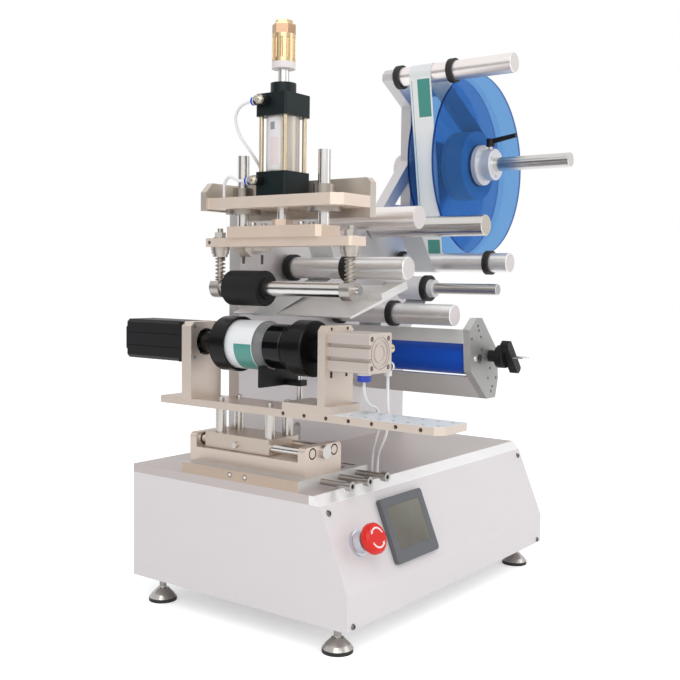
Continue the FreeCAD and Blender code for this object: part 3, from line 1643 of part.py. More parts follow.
def presser():
    """Spring pins with their eyes, the shaft they hold, and the rubber roller on it."""
    pins = []
    for y in around(-press_y, pin_spacing):
        stem = rod_z(axis_x, y, pin_radius, presser_z, crosshead_bottom + pin_top)
        near = -y - eye_width / 2
        eye = rod_y(axis_x, presser_z, eye_radius, near, near + eye_width)
        above = box(
            around(axis_x, 3 * eye_radius),
            around(y, 2 * eye_width),
            (spring_bottom, presser_z + 2 * eye_radius),
        )
        eye = cut(eye, above)
        nut_bottom = crosshead_bottom + pin_washer
        nut = joined(
            rod_z(axis_x, y, pin_washer_radius, crosshead_bottom, nut_bottom),
            hexagon(axis_x, y, pin_nut_across, nut_bottom, nut_bottom + pin_nut),
        )
        bore = rod_y(axis_x, presser_z, presser_end_radius + running_fit, near - 8, near + eye_width + 8)
        pins.append(cut(joined(stem, eye, nut), bore))
    write("spring_pins", *pins)

    back_pin = press_y - pin_spacing / 2
    front_pin = press_y + pin_spacing / 2
    shaft_back = back_pin + eye_width / 2
    shaft_front = front_pin - eye_width / 2
    profile = [
        (back_pin - eye_width, 0),
        (back_pin - eye_width, presser_end_radius),
        (shaft_back, presser_end_radius),
        (shaft_back, presser_shaft_radius),
        (shaft_front, presser_shaft_radius),
        (shaft_front, presser_end_radius),
        (front_pin + eye_width, presser_end_radius),
        (front_pin + eye_width, 0),
    ]
    write("presser_shaft", turned_y(profile, axis_x, presser_z))

    end = presser_back + presser_length
    bore = presser_shaft_radius + running_fit
    profile = [
        (presser_back - 3, bore),
        (presser_back - 3, presser_core_radius - 3),
        (presser_back, presser_core_radius - 3),
        (presser_back, presser_radius - 1.5),
        (presser_back + 1.5, presser_radius),
        (end - 1.5, presser_radius),
        (end, presser_radius - 1.5),
        (end, presser_core_radius - 3),
        (end + 3, presser_core_radius - 3),
        (end + 3, bore),
    ]
    write("presser_roller", turned_y(profile, axis_x, presser_z))


def cord(name, points, radius):
    """Makes a tube along straight runs that are joined by tangent arcs, and prints its radii."""
    corners = [Vector(*point) for point in points]
    edges = []
    start = corners[0]
    radii = []
    for before, corner, after in zip(corners, corners[1:], corners[2:]):
        run_in = corner - before
        run_out = after - corner
        shorter = min(run_in.Length, run_out.Length)
        turn = run_in.getAngle(run_out)
        setback = 0.45 * shorter
        bend = setback / math.tan(turn / 2)
        radii.append(bend)
        arc_start = corner - run_in.normalize() * setback
        arc_end = corner + run_out.normalize() * setback
        inward = (arc_start + arc_end) * 0.5 - corner
        centre_distance = bend / math.cos(turn / 2)
        middle = corner + inward.normalize() * (centre_distance - bend)
        edges.append(Part.makeLine(start, arc_start))
        edges.append(Part.Arc(arc_start, middle, arc_end).toShape())
        start = arc_end
    edges.append(Part.makeLine(start, corners[-1]))
    path = Part.Wire(edges)
    direction = corners[1] - corners[0]
    section = Part.Wire(Part.makeCircle(radius, corners[0], direction))
    tube = path.makePipeShell([section], True, True)
    ratio = tube.Volume / (math.pi * radius ** 2 * path.Length)
    print("%s: length %.0f, least bend radius %.1f of %s, volume ratio %.4f" % (
        name, path.Length, min(radii), [round(value) for value in radii], ratio))
    write(name, tube)


def air_tubes():
    """Clear air tubes of the press cylinder and of the tail cylinder."""
    (upper_y, upper_z), (lower_y, lower_z) = elbow_places()
    tube_x = axis_x - cylinder_side / 2 - elbow_reach + 6
    leave = elbow_tail + elbow_side / 2
    cord("upper_air_tube", [
        (tube_x, upper_y + leave, upper_z),
        (tube_x, upper_y + leave + 18, upper_z),
        (tube_x, upper_y + leave + 33, upper_z - 16),
        (tube_x + 4, upper_y + leave + 29, upper_z - 40),
        (tube_x + 14, upper_y + leave + 14, upper_z - 64),
        (tube_x + 34, upper_y + leave + 12, upper_z - 86),
        (tube_x + 38, upper_y + leave + 12, upper_z - 106),
        (tube_x + 38, upper_y + leave + 12, press_plate_top),
    ], air_tube_radius)
    cord("lower_air_tube", [
        (tube_x, lower_y + leave, lower_z),
        (tube_x, lower_y + leave + 14, lower_z),
        (tube_x, lower_y + leave + 30, lower_z + 9),
        (tube_x + 4, lower_y + leave + 44, lower_z + 1),
        (tube_x + 6, lower_y + leave + 46, press_plate_top + 8),
        (tube_x + 6, lower_y + leave + 46, press_plate_top),
    ], air_tube_radius)
    right = axis_x + tail_cylinder_side / 2
    bottom = axis_z - tail_cylinder_side / 2
    below = tail_cylinder_front - 24
    side_y = tail_cylinder_front - 9
    cord("tail_tube_side", [
        (right + tail_port_length / 2, -side_y, bottom + 6 - tail_port_length),
        (right + tail_port_length / 2, -side_y, bottom - 32),
        (right + tail_port_length / 2 + 6, -side_y + 2, bottom - 60),
        (right + tail_port_length / 2 + 20, -side_y + 14, bottom - 86),
        (right + tail_port_length / 2 + 40, -side_y + 38, bottom - 110),
        (right + tail_port_length / 2 + 67, -side_y + 60, bottom - 128),
        (right + tail_port_length / 2 + 67, -side_y + 60, cabinet_top),
    ], air_tube_radius)
    cord("tail_tube_low", [
        (axis_x, -below, bottom - tail_port_length),
        (axis_x, -below, bottom - tail_port_length - 16),
        (axis_x + 14, -below + 1, bottom - tail_port_length - 32),
        (axis_x + 38, -below + 5, bottom - tail_port_length - 36),
        (axis_x + 58, -below + 14, bottom - tail_port_length - 60),
        (axis_x + 78, -below + 34, bottom - tail_port_length - 86),
        (axis_x + 98, -below + 54, bottom - tail_port_length - 108),
        (axis_x + 98, -below + 54, cabinet_top),
    ], air_tube_radius)


def main():
    """Makes every node."""
    os.makedirs("parts", exist_ok=True)
    cabinet()
    operator_panel()
    cross_slide()
    support_plate()
    drive_end()
    tail_end()
    wall_and_frame()
    web_rollers()
    reel()
    peel_unit()
    traction_unit()
    label_web()
    press_frame()
    press_slide()
    presser()
    air_tubes()


main()
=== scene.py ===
"""Looks of the tube labelling machine: finishes, air tubes, labels, screws and studio.

Places are given as in the shop drawing: x from the left side of the cabinet, forward from its back and
z above the floor, in millimetres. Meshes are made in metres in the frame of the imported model.
"""

import logging
import math
from dataclasses import dataclass, field
from enum import Enum
from typing import Dict, List, Optional, Sequence, Tuple, Union

import bmesh
import bpy
from mathutils import Matrix, Vector

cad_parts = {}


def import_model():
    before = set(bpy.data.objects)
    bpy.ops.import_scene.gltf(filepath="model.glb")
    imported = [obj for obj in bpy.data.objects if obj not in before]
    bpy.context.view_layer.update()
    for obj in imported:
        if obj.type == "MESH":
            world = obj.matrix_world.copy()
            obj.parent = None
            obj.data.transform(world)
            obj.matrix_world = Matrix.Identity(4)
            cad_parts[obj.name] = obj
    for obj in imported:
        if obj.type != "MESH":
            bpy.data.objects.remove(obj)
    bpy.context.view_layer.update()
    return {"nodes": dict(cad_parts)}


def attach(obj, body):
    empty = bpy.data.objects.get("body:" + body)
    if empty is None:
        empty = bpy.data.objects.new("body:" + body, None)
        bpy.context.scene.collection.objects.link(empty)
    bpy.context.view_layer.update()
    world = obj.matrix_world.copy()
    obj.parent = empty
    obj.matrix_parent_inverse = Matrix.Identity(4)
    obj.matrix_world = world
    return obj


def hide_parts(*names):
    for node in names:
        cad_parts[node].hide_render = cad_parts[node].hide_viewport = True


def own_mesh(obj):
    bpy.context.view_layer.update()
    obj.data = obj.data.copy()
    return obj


LOG = logging.getLogger("labelling_machine")

Colour = Tuple[float, float, float]
Span = Tuple[Optional[float], Optional[float]]
ANY: Span = (None, None)


def spot(x: float, forward: float, z: float) -> Vector:
    """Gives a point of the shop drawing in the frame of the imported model.

    Args:
        x: Distance to the right of the cabinet's left side, in mm.
        forward: Distance in front of the cabinet's back, in mm.
        z: Height above the floor, in mm.

    Returns:
        The point in metres.
    """
    return Vector((x - 270.0, 190.5 - forward, z)) / 1000.0


class Amount:
    """A number inside a material, on which Python's operators add Math nodes."""

    def __init__(self, tree: bpy.types.NodeTree, socket: bpy.types.NodeSocket) -> None:
        """Wraps an output socket of a node tree."""
        self.tree = tree
        self.socket = socket

    def math(self, operation: str, *values: Union["Amount", float]) -> "Amount":
        """Adds a Math node.

        Args:
            operation: Blender's name of the operation.
            values: What goes into its sockets, in order.

        Returns:
            Its result.
        """
        node = self.tree.nodes.new("ShaderNodeMath")
        node.operation = operation
        for socket, value in zip(node.inputs, values):
            if isinstance(value, Amount):
                self.tree.links.new(value.socket, socket)
            else:
                socket.default_value = value
        return Amount(self.tree, node.outputs[0])

    def __add__(self, other: Union["Amount", float]) -> "Amount":
        """Adds two numbers."""
        return self.math("ADD", self, other)

    def __radd__(self, other: float) -> "Amount":
        """Adds two numbers."""
        return self.math("ADD", other, self)

    def __sub__(self, other: Union["Amount", float]) -> "Amount":
        """Subtracts the other number."""
        return self.math("SUBTRACT", self, other)

    def __rsub__(self, other: float) -> "Amount":
        """Subtracts this number from the other."""
        return self.math("SUBTRACT", other, self)

    def __mul__(self, other: Union["Amount", float]) -> "Amount":
        """Multiplies two numbers."""
        return self.math("MULTIPLY", self, other)

    def __rmul__(self, other: float) -> "Amount":
        """Multiplies two numbers."""
        return self.math("MULTIPLY", other, self)

    def __gt__(self, other: Union["Amount", float]) -> "Amount":
        """Gives 1 where this number is larger."""
        return self.math("GREATER_THAN", self, other)

    def __lt__(self, other: Union["Amount", float]) -> "Amount":
        """Gives 1 where this number is smaller."""
        return self.math("LESS_THAN", self, other)

    def root(self) -> "Amount":
        """Gives the square root."""
        return self.math("SQRT", self)

    def wave(self) -> "Amount":
        """Gives the sine."""
        return self.math("SINE", self)

    def between(self, low: Optional[float], high: Optional[float]) -> Optional["Amount"]:
        """Gives 1 from low to high, or None where neither is set.

        Args:
            low: Lower end, or None where there is none.
            high: Upper end, or None where there is none.

        Returns:
            The mask, or None.
        """
        mask = None
        if low is not None:
            mask = self > low
        if high is not None:
            mask = (self < high) if mask is None else mask * (self < high)
        return mask


class Grain(Enum):
    """Fine texture of a surface, as detail per metre along x, y and z."""

    PLAIN = (1500.0, 1500.0, 1500.0)
    PEEL = (420.0, 420.0, 420.0)
    GRIT = (2600.0, 2600.0, 2600.0)
    BRUSHED_X = (45.0, 2800.0, 2800.0)
    BRUSHED_Y = (2800.0, 45.0, 2800.0)
    BRUSHED_Z = (2800.0, 2800.0, 45.0)
    TURNED_Y = (30.0, 3600.0, 30.0)
    TURNED_Z = (30.0, 30.0, 3600.0)


@dataclass(frozen=True)
class Skin:
    """Colour and gloss of a bare surface."""

    colour: Colour
    rough: float
    metal: float = 0.0


class Axis(Enum):
    """Axis that a round zone lies round, as the places of its two coordinates."""

    X = (1, 2)
    Y = (0, 2)
    Z = (0, 1)


@dataclass(frozen=True)
class Zone:
    """Part of a solid that has a skin of its own, found by its place in the shop drawing."""

    skin: Skin
    x: Span = ANY
    forward: Span = ANY
    z: Span = ANY
    around: Optional[Tuple[float, float]] = None
    radius: Span = ANY
    axis: Axis = Axis.Y


class Recipe:
    """Nodes of one material."""

    def __init__(self, name: str) -> None:
        """Starts a material with an empty surface."""
        self.material = bpy.data.materials.new(name)
        self.material.use_nodes = True
        self.tree = self.material.node_tree
        self.tree.nodes.clear()
        self.out = self.tree.nodes.new("ShaderNodeOutputMaterial")
        self.shader = self.node("ShaderNodeBsdfPrincipled", {}, {})
        self.tree.links.new(self.shader.outputs[0], self.out.inputs[0])

    def node(self, kind: str, settings: Dict, sockets: Dict) -> bpy.types.Node:
        """Adds a node.

        Args:
            kind: Blender's name of the node's type.
            settings: Properties, which are set first.
            sockets: Values or links of its sockets, by name or index.

        Returns:
            The node.
        """
        node = self.tree.nodes.new(kind)
        for name, value in settings.items():
            setattr(node, name, value)
        for name, value in sockets.items():
            self.feed(node, name, value)
        return node

    def feed(self, node: bpy.types.Node, name: Union[str, int], value: object) -> None:
        """Sets or links one socket of a node."""
        if isinstance(value, Amount):
            self.tree.links.new(value.socket, node.inputs[name])
        elif isinstance(value, bpy.types.NodeSocket):
            self.tree.links.new(value, node.inputs[name])
        else:
            node.inputs[name].default_value = value

    def place(self) -> bpy.types.NodeSocket:
        """Gives the Object coordinates."""
        return self.node("ShaderNodeTexCoord", {}, {}).outputs["Object"]

    def parts(self, vector: bpy.types.NodeSocket) -> List[Amount]:
        """Splits a vector into its three numbers."""
        node = self.node("ShaderNodeSeparateXYZ", {}, {0: vector})
        return [Amount(self.tree, socket) for socket in node.outputs]

    def noise(self, scale: Sequence[float], detail: float = 2.0) -> Amount:
        """Gives noise from 0 to 1.

        Args:
            scale: Detail per metre along each axis.
            detail: Octaves.

        Returns:
            The noise.
        """
        stretched = self.node("ShaderNodeMapping", {}, {"Vector": self.place(), "Scale": tuple(scale)})
        noise = self.node(
            "ShaderNodeTexNoise", {}, {"Vector": stretched.outputs[0], "Scale": 1.0, "Detail": detail})
        return Amount(self.tree, noise.outputs["Fac"])

    def blend(
        self,
        mask: Union[Amount, float],
        first: Union[Colour, bpy.types.NodeSocket],
        second: Union[Colour, bpy.types.NodeSocket],
    ) -> bpy.types.NodeSocket:
        """Mixes two colours.

        Args:
            mask: 0 for the first colour and 1 for the second.
            first: Colour, or a link to one.
            second: Colour, or a link to one.

        Returns:
            The mixed colour.
        """
        node = self.node("ShaderNodeMix", {"data_type": "RGBA"}, {0: mask})
        for index, colour in ((6, first), (7, second)):
            self.feed(node, index, colour if isinstance(colour, bpy.types.NodeSocket) else (*colour, 1.0))
        return node.outputs[2]

    def shade(self, colour: Union[Colour, bpy.types.NodeSocket], amount: Amount) -> bpy.types.NodeSocket:
        """Multiplies a colour by a number near 1."""
        grey = self.node("ShaderNodeCombineXYZ", {}, {0: amount, 1: amount, 2: amount})
        start = colour
        if not isinstance(colour, bpy.types.NodeSocket):
            start = self.blend(0.0, colour, colour)
        node = self.node("ShaderNodeVectorMath", {"operation": "MULTIPLY"}, {0: start, 1: grey.outputs[0]})
        return node.outputs[0]

    def relief(self, height: Amount, depth: float) -> None:
        """Feeds the Normal from a height that is as deep as depth, in metres."""
        bump = self.node("ShaderNodeBump", {}, {"Strength": 1.0, "Distance": depth, "Height": height})
        self.feed(self.shader, "Normal", bump.outputs[0])


@dataclass(frozen=True)
class Finish:
    """A finish with its grain, its soft blotches and the zones that differ from it."""

    name: str
    skin: Skin
    grain: Grain = Grain.PLAIN
    depth: float = 0.00001
    blotch: float = 0.05
    coat: float = 0.0
    specular: float = 0.5
    zones: Tuple[Zone, ...] = ()

    def mask(self, recipe: Recipe, zone: Zone) -> Amount:
        """Makes the mask of a zone.

        Args:
            recipe: Nodes of the material.
            zone: Zone to find.

        Returns:
            1 inside the zone and 0 outside it.
        """
        place = recipe.parts(recipe.place())
        across, depth, up = place
        mask = None
        spans = [
            (across, zone.x, -270.0, 1.0),
            (depth, zone.forward, 190.5, -1.0),
            (up, zone.z, 0.0, 1.0),
        ]
        for amount, (low, high), start, sense in spans:
            ends = [None if end is None else (start + sense * end) / 1000.0 for end in (low, high)]
            if sense < 0:
                ends.reverse()
            found = amount.between(*ends)
            if found is not None:
                mask = found if mask is None else mask * found
        if zone.around is not None:
            first, second = zone.axis.value
            given = [0.0, 0.0, 0.0]
            given[first], given[second] = zone.around
            middle = spot(*given)
            beside = place[first] - middle[first]
            above = place[second] - middle[second]
            reach = (beside * beside + above * above).root()
            ends = [None if end is None else end / 1000.0 for end in zone.radius]
            found = reach.between(*ends)
            if found is not None:
                mask = found if mask is None else mask * found
        return mask

    def dress(self, recipe: Recipe) -> None:
        """Sets the surface of the material."""
        grain = recipe.noise(self.grain.value, 3.0)
        blotch = recipe.noise((22.0, 22.0, 22.0), 3.0)
        colour: Union[Colour, bpy.types.NodeSocket] = self.skin.colour
        rough: Union[float, Amount] = self.skin.rough
        metal: Union[float, Amount] = self.skin.metal
        for zone in self.zones:
            mask = self.mask(recipe, zone)
            colour = recipe.blend(mask, colour, zone.skin.colour)
            rough = mask * zone.skin.rough + (1.0 - mask) * rough
            metal = mask * zone.skin.metal + (1.0 - mask) * metal
        change = 1.0 + (blotch - 0.5) * (2.0 * self.blotch) + (grain - 0.5) * self.blotch
        recipe.feed(recipe.shader, "Base Color", recipe.shade(colour, change))
        recipe.feed(recipe.shader, "Roughness", rough + (grain - 0.5) * 0.06 + (blotch - 0.5) * 0.08)
        recipe.feed(recipe.shader, "Metallic", metal)
        recipe.feed(recipe.shader, "Coat Weight", self.coat)
        recipe.feed(recipe.shader, "Coat Roughness", 0.08)
        recipe.feed(recipe.shader, "Specular IOR Level", self.specular)
        recipe.relief(grain, self.depth)

    def material(self) -> bpy.types.Material:
        """Makes the material, or gives it where it is made already."""
        made = bpy.data.materials.get(self.name)
        if made is None:
            recipe = Recipe(self.name)
            self.dress(recipe)
            made = recipe.material
        return made


@dataclass(frozen=True)
class ClearFinish(Finish):
    """Clear or tinted plastic that lets light through."""

    through: float = 1.0
    index: float = 1.2
    alpha: float = 1.0

    def dress(self, recipe: Recipe) -> None:
        """Sets the surface of the material."""
        super().dress(recipe)
        recipe.feed(recipe.shader, "Alpha", self.alpha)
        recipe.feed(recipe.shader, "Transmission Weight", self.through)
        recipe.feed(recipe.shader, "IOR", self.index)


@dataclass(frozen=True)
class RollFinish(Finish):
    """Wound paper, whose turns show as rings round the reel's axis."""

    def dress(self, recipe: Recipe) -> None:
        """Sets the surface of the material."""
        across, _, up = recipe.parts(recipe.place())
        middle = spot(654.0, 0.0, 674.0)
        beside = across - middle.x
        above = up - middle.z
        reach = (beside * beside + above * above).root()
        turns = (reach * 5200.0).wave() * 0.5 + 0.5
        core = reach < 0.038
        wound = recipe.blend(turns, (0.74, 0.76, 0.76), (0.62, 0.66, 0.66))
        colour = recipe.blend(core, wound, (0.42, 0.30, 0.19))
        recipe.feed(recipe.shader, "Base Color", recipe.shade(colour, 1.0 + (recipe.noise((60.0,) * 3) - 0.5) * 0.1))
        recipe.feed(recipe.shader, "Roughness", 0.55 + turns * 0.15)
        recipe.relief(turns, 0.00008)


@dataclass(frozen=True)
class PrintFinish(Finish):
    """Glossy label: white with a thin edge line and one plain colour panel, on the piece's own map."""

    ink: Colour = (0.06, 0.27, 0.23)
    panel: Tuple[float, float, float, float] = (0.34, 0.94, 0.72, 0.97)
    line: Tuple[float, float] = (0.05, 0.075)

    def dress(self, recipe: Recipe) -> None:
        """Sets the surface of the material."""
        sheet = recipe.node("ShaderNodeUVMap", {"uv_map": "label"}, {})
        over, along, _ = recipe.parts(sheet.outputs[0])
        left, right, low, high = self.panel
        panel = over.between(left, right) * along.between(low, high)
        line = over.between(*self.line) * along.between(0.02, 0.98)
        ink = recipe.noise((900.0, 900.0, 900.0))
        white = recipe.shade(self.skin.colour, 1.0 + (recipe.noise((35.0,) * 3) - 0.5) * 0.04)
        teal = recipe.shade(self.ink, 1.0 + (ink - 0.5) * 0.16)
        recipe.feed(recipe.shader, "Base Color", recipe.blend(panel + line * (1.0 - panel), white, teal))
        recipe.feed(recipe.shader, "Roughness", self.skin.rough + panel * 0.05)
        recipe.feed(recipe.shader, "Coat Weight", 0.3)
        recipe.relief(ink, 0.000004)


@dataclass(frozen=True)
class ScreenFinish(Finish):
    """Unlit screen: dark glass over a grey-green panel, with a painted reflection that lightens it towards one corner.
    """

    def dress(self, recipe: Recipe) -> None:
        """Sets the surface of the material."""
        across, _, up = recipe.parts(recipe.place())
        # Painted reflection: the panel's colour grows lighter upwards and to the right.
        painted_reflection = (up - 0.100) * 9.0 + (across + 0.145) * 3.0
        haze = recipe.noise((26.0, 26.0, 26.0), 2.0)
        colour = recipe.blend(painted_reflection * 0.55 + haze * 0.35, (0.085, 0.080, 0.064), (0.27, 0.26, 0.215))
        recipe.feed(recipe.shader, "Base Color", colour)
        recipe.feed(recipe.shader, "Roughness", 0.16 + haze * 0.05)
        recipe.feed(recipe.shader, "Coat Weight", 0.6)
        recipe.relief(recipe.noise((1800.0, 1800.0, 1800.0)), 0.000002)


STEEL = Skin((0.56, 0.54, 0.52), 0.30, 1.0)
DARK_STEEL = Skin((0.26, 0.25, 0.24), 0.32, 1.0)
CHROME = Skin((0.66, 0.64, 0.62), 0.22, 1.0)
BLACK = Skin((0.005, 0.005, 0.006), 0.45)
# Painted shade: near-black skin drawn on flat faces for the shade inside holes, slots and narrow gaps.
HOLE_SHADE = Skin((0.012, 0.011, 0.010), 0.75)
RUBBER = Skin((0.006, 0.006, 0.0065), 0.62)
WHITE_PLASTIC = Skin((0.74, 0.73, 0.72), 0.40)
BLUE_PLASTIC = Skin((0.010, 0.045, 0.48), 0.35)
BRASS = Skin((0.60, 0.46, 0.26), 0.28, 1.0)
TUBE_SKIN = Skin((0.88, 0.82, 0.80), 0.33, 0.90)
WHITE_TUBE = Skin((0.84, 0.825, 0.82), 0.34, 0.80)
WARM_PLATE = Skin((0.64, 0.545, 0.475), 0.38, 0.80)
POST = Skin((0.50, 0.47, 0.44), 0.26, 1.0)
END_CAP = Skin((0.62, 0.575, 0.56), 0.45, 0.15)


def ring(
    axis: Axis,
    middle: Tuple[float, float],
    outer: float,
    inner: float = 0.0,
    skin: Skin = HOLE_SHADE,
    **span: Span,
) -> Zone:
    """Gives a round or ring-shaped zone on a flat face, such as the painted shade of a drilled hole.

    Args:
        axis: Axis that it lies round.
        middle: Its middle, as the two other coordinates of the shop drawing.
        outer: Outer radius in mm.
        inner: Inner radius in mm, or 0 for a full disc.
        skin: Its skin.
        span: Limits along x, forward or z.

    Returns:
        The zone.
    """
    return Zone(skin, around=middle, radius=(inner if inner > 0.0 else None, outer), axis=axis, **span)


def collars(*starts: float) -> Tuple[Zone, ...]:
    """Gives the black ring zones of a guide roller from where each starts."""
    return tuple(Zone(RUBBER, forward=(start - 0.2, start + 10.2)) for start in starts)


def capped(front: float, *starts: float) -> Tuple[Zone, ...]:
    """Gives the zones of a guide roller: its front cap, and the black rings from where each starts."""
    return (Zone(END_CAP, forward=(front - 0.1, None)), *collars(*starts))


class Surface(Enum):
    """Finishes of the machine."""

    POWDER = Finish("white_powder_coat", Skin((0.67, 0.63, 0.635), 0.42), Grain.PEEL, 0.00003, 0.02, 0.10, 0.35)
    WALL = Finish("milled_wall", Skin((0.62, 0.585, 0.585), 0.42, 0.65), Grain.BRUSHED_X, 0.0000015, 0.03)
    BRIGHT_PLATE = Finish("bright_plate", Skin((0.80, 0.775, 0.75), 0.36, 0.65), Grain.BRUSHED_X, 0.000001, 0.03)
    COVER_PLATE = Finish("folded_cover", Skin((0.76, 0.755, 0.745), 0.40, 0.60), Grain.BRUSHED_Y, 0.000001, 0.03)
    CYLINDER_SEAT = Finish("cylinder_seat_plate", Skin((0.76, 0.635, 0.54), 0.42, 0.50), Grain.BRUSHED_Y, 0.000001, 0.03)
    CROSSHEAD = Finish("crosshead_plate", Skin((0.76, 0.62, 0.51), 0.42, 0.50), Grain.BRUSHED_Y, 0.000001, 0.03)
    GROUND = Finish("ground_steel", STEEL, Grain.TURNED_Y, 0.0000002, 0.03)
    BEARING = Finish("bearing_steel", Skin((0.34, 0.305, 0.27), 0.34, 1.0), Grain.TURNED_Z, 0.0000002, 0.05)
    CHROMED = Finish("chromed_steel", CHROME, Grain.TURNED_Y, 0.0000001, 0.02)
    CHROMED_UPRIGHT = Finish("chromed_upright_steel", CHROME, Grain.TURNED_Z, 0.0000001, 0.02)
    TURNED_BLACK = Finish("turned_black", Skin((0.004, 0.004, 0.004), 0.30), Grain.TURNED_Y, 0.000001, 0.15, 0.03, 0.16)
    GLOSS_BLACK = Finish("gloss_black_plastic", Skin((0.003, 0.003, 0.004), 0.14), Grain.PLAIN, 0.000001, 0.1, 0.08, 0.2)
    SCREW = Finish("screw_steel", Skin((0.50, 0.48, 0.46), 0.30, 1.0), Grain.GRIT, 0.000001, 0.06)
    DARK_SCREW = Finish("dark_screw", Skin((0.16, 0.15, 0.145), 0.35, 0.9), Grain.GRIT, 0.000001, 0.1)
    CASTING = Finish("aluminium_profile", Skin((0.57, 0.50, 0.455), 0.42, 0.55), Grain.BRUSHED_Y, 0.000001, 0.03)
    RIBBED = Finish("drawn_black_profile", BLACK, Grain.BRUSHED_Y, 0.000003, 0.15, 0.0, 0.22)
    SPRING = Finish("spring_wire", Skin((0.30, 0.25, 0.21), 0.32, 1.0), Grain.PLAIN, 0.000003, 0.12)
    SILVER_WHITE = Finish("silver_collar", Skin((0.56, 0.58, 0.63), 0.30, 0.6), Grain.TURNED_Z, 0.000002, 0.04)
    BEZEL = Finish("panel_bezel", Skin((0.110, 0.116, 0.124), 0.36), Grain.GRIT, 0.000003, 0.06)
    RED = Finish("stop_red", Skin((0.66, 0.016, 0.010), 0.34), Grain.PLAIN, 0.000001, 0.05, 0.06, 0.3)
    MARK = Finish("stop_marks", Skin((0.78, 0.70, 0.68), 0.35), Grain.PLAIN, 0.000001, 0.03)
    BLACK_RUBBER = Finish("black_rubber", RUBBER, Grain.TURNED_Y, 0.000006, 0.2, 0.0, 0.25)
    PAPER = Finish("web_paper", Skin((0.70, 0.715, 0.72), 0.42), Grain.PLAIN, 0.000001, 0.03, 0.1)
    ROLL = RollFinish("label_roll_paper", Skin((0.7, 0.7, 0.7), 0.6))
    LABEL = PrintFinish("label_print", Skin((0.78, 0.785, 0.78), 0.34), panel=(0.34, 0.965, 0.75, 0.985))
    JAR_LABEL = PrintFinish(
        "jar_label_print", Skin((0.76, 0.77, 0.77), 0.34), panel=(0.543, 0.985, -0.1, 0.236), line=(-2.0, -1.0))
    SCREEN = ScreenFinish("unlit_screen", Skin((0.1, 0.1, 0.08), 0.2))
    STICKER = Finish(
        "bare_sticker", Skin((0.70, 0.665, 0.67), 0.42), Grain.PLAIN, 0.000001, 0.04,
        zones=(
            Zone(Skin((0.68, 0.58, 0.57), 0.42), forward=(217.5, 230.0), z=(612.0, 648.0)),
            Zone(Skin((0.26, 0.27, 0.30), 0.42), forward=(217.5, 224.5), z=(658.0, 668.0)),
        ))
    BLUE_DISC = ClearFinish(
        "blue_acrylic", Skin((0.10, 0.30, 0.63), 0.04), Grain.PLAIN, 0.0000002, 0.05,
        zones=(Zone(Skin((0.004, 0.010, 0.16), 0.30), around=(654.0, 674.0), radius=(163.9, None)),),
        through=0.92, index=1.08, alpha=0.87)
    CLEAR = ClearFinish(
        "clear_jar", Skin((0.72, 0.73, 0.73), 0.06), Grain.PLAIN, 0.0000002, 0.01, 0.3, through=0.86, index=1.12)
    TUBE = ClearFinish(
        "milky_air_tube", Skin((0.78, 0.765, 0.765), 0.26), Grain.PLAIN, 0.0000002, 0.02, 0.2, through=0.0)
    BARREL = Finish("lacquered_barrel", Skin((0.50, 0.455, 0.39), 0.30, 0.45), Grain.TURNED_Z, 0.0000003, 0.03, 0.2)


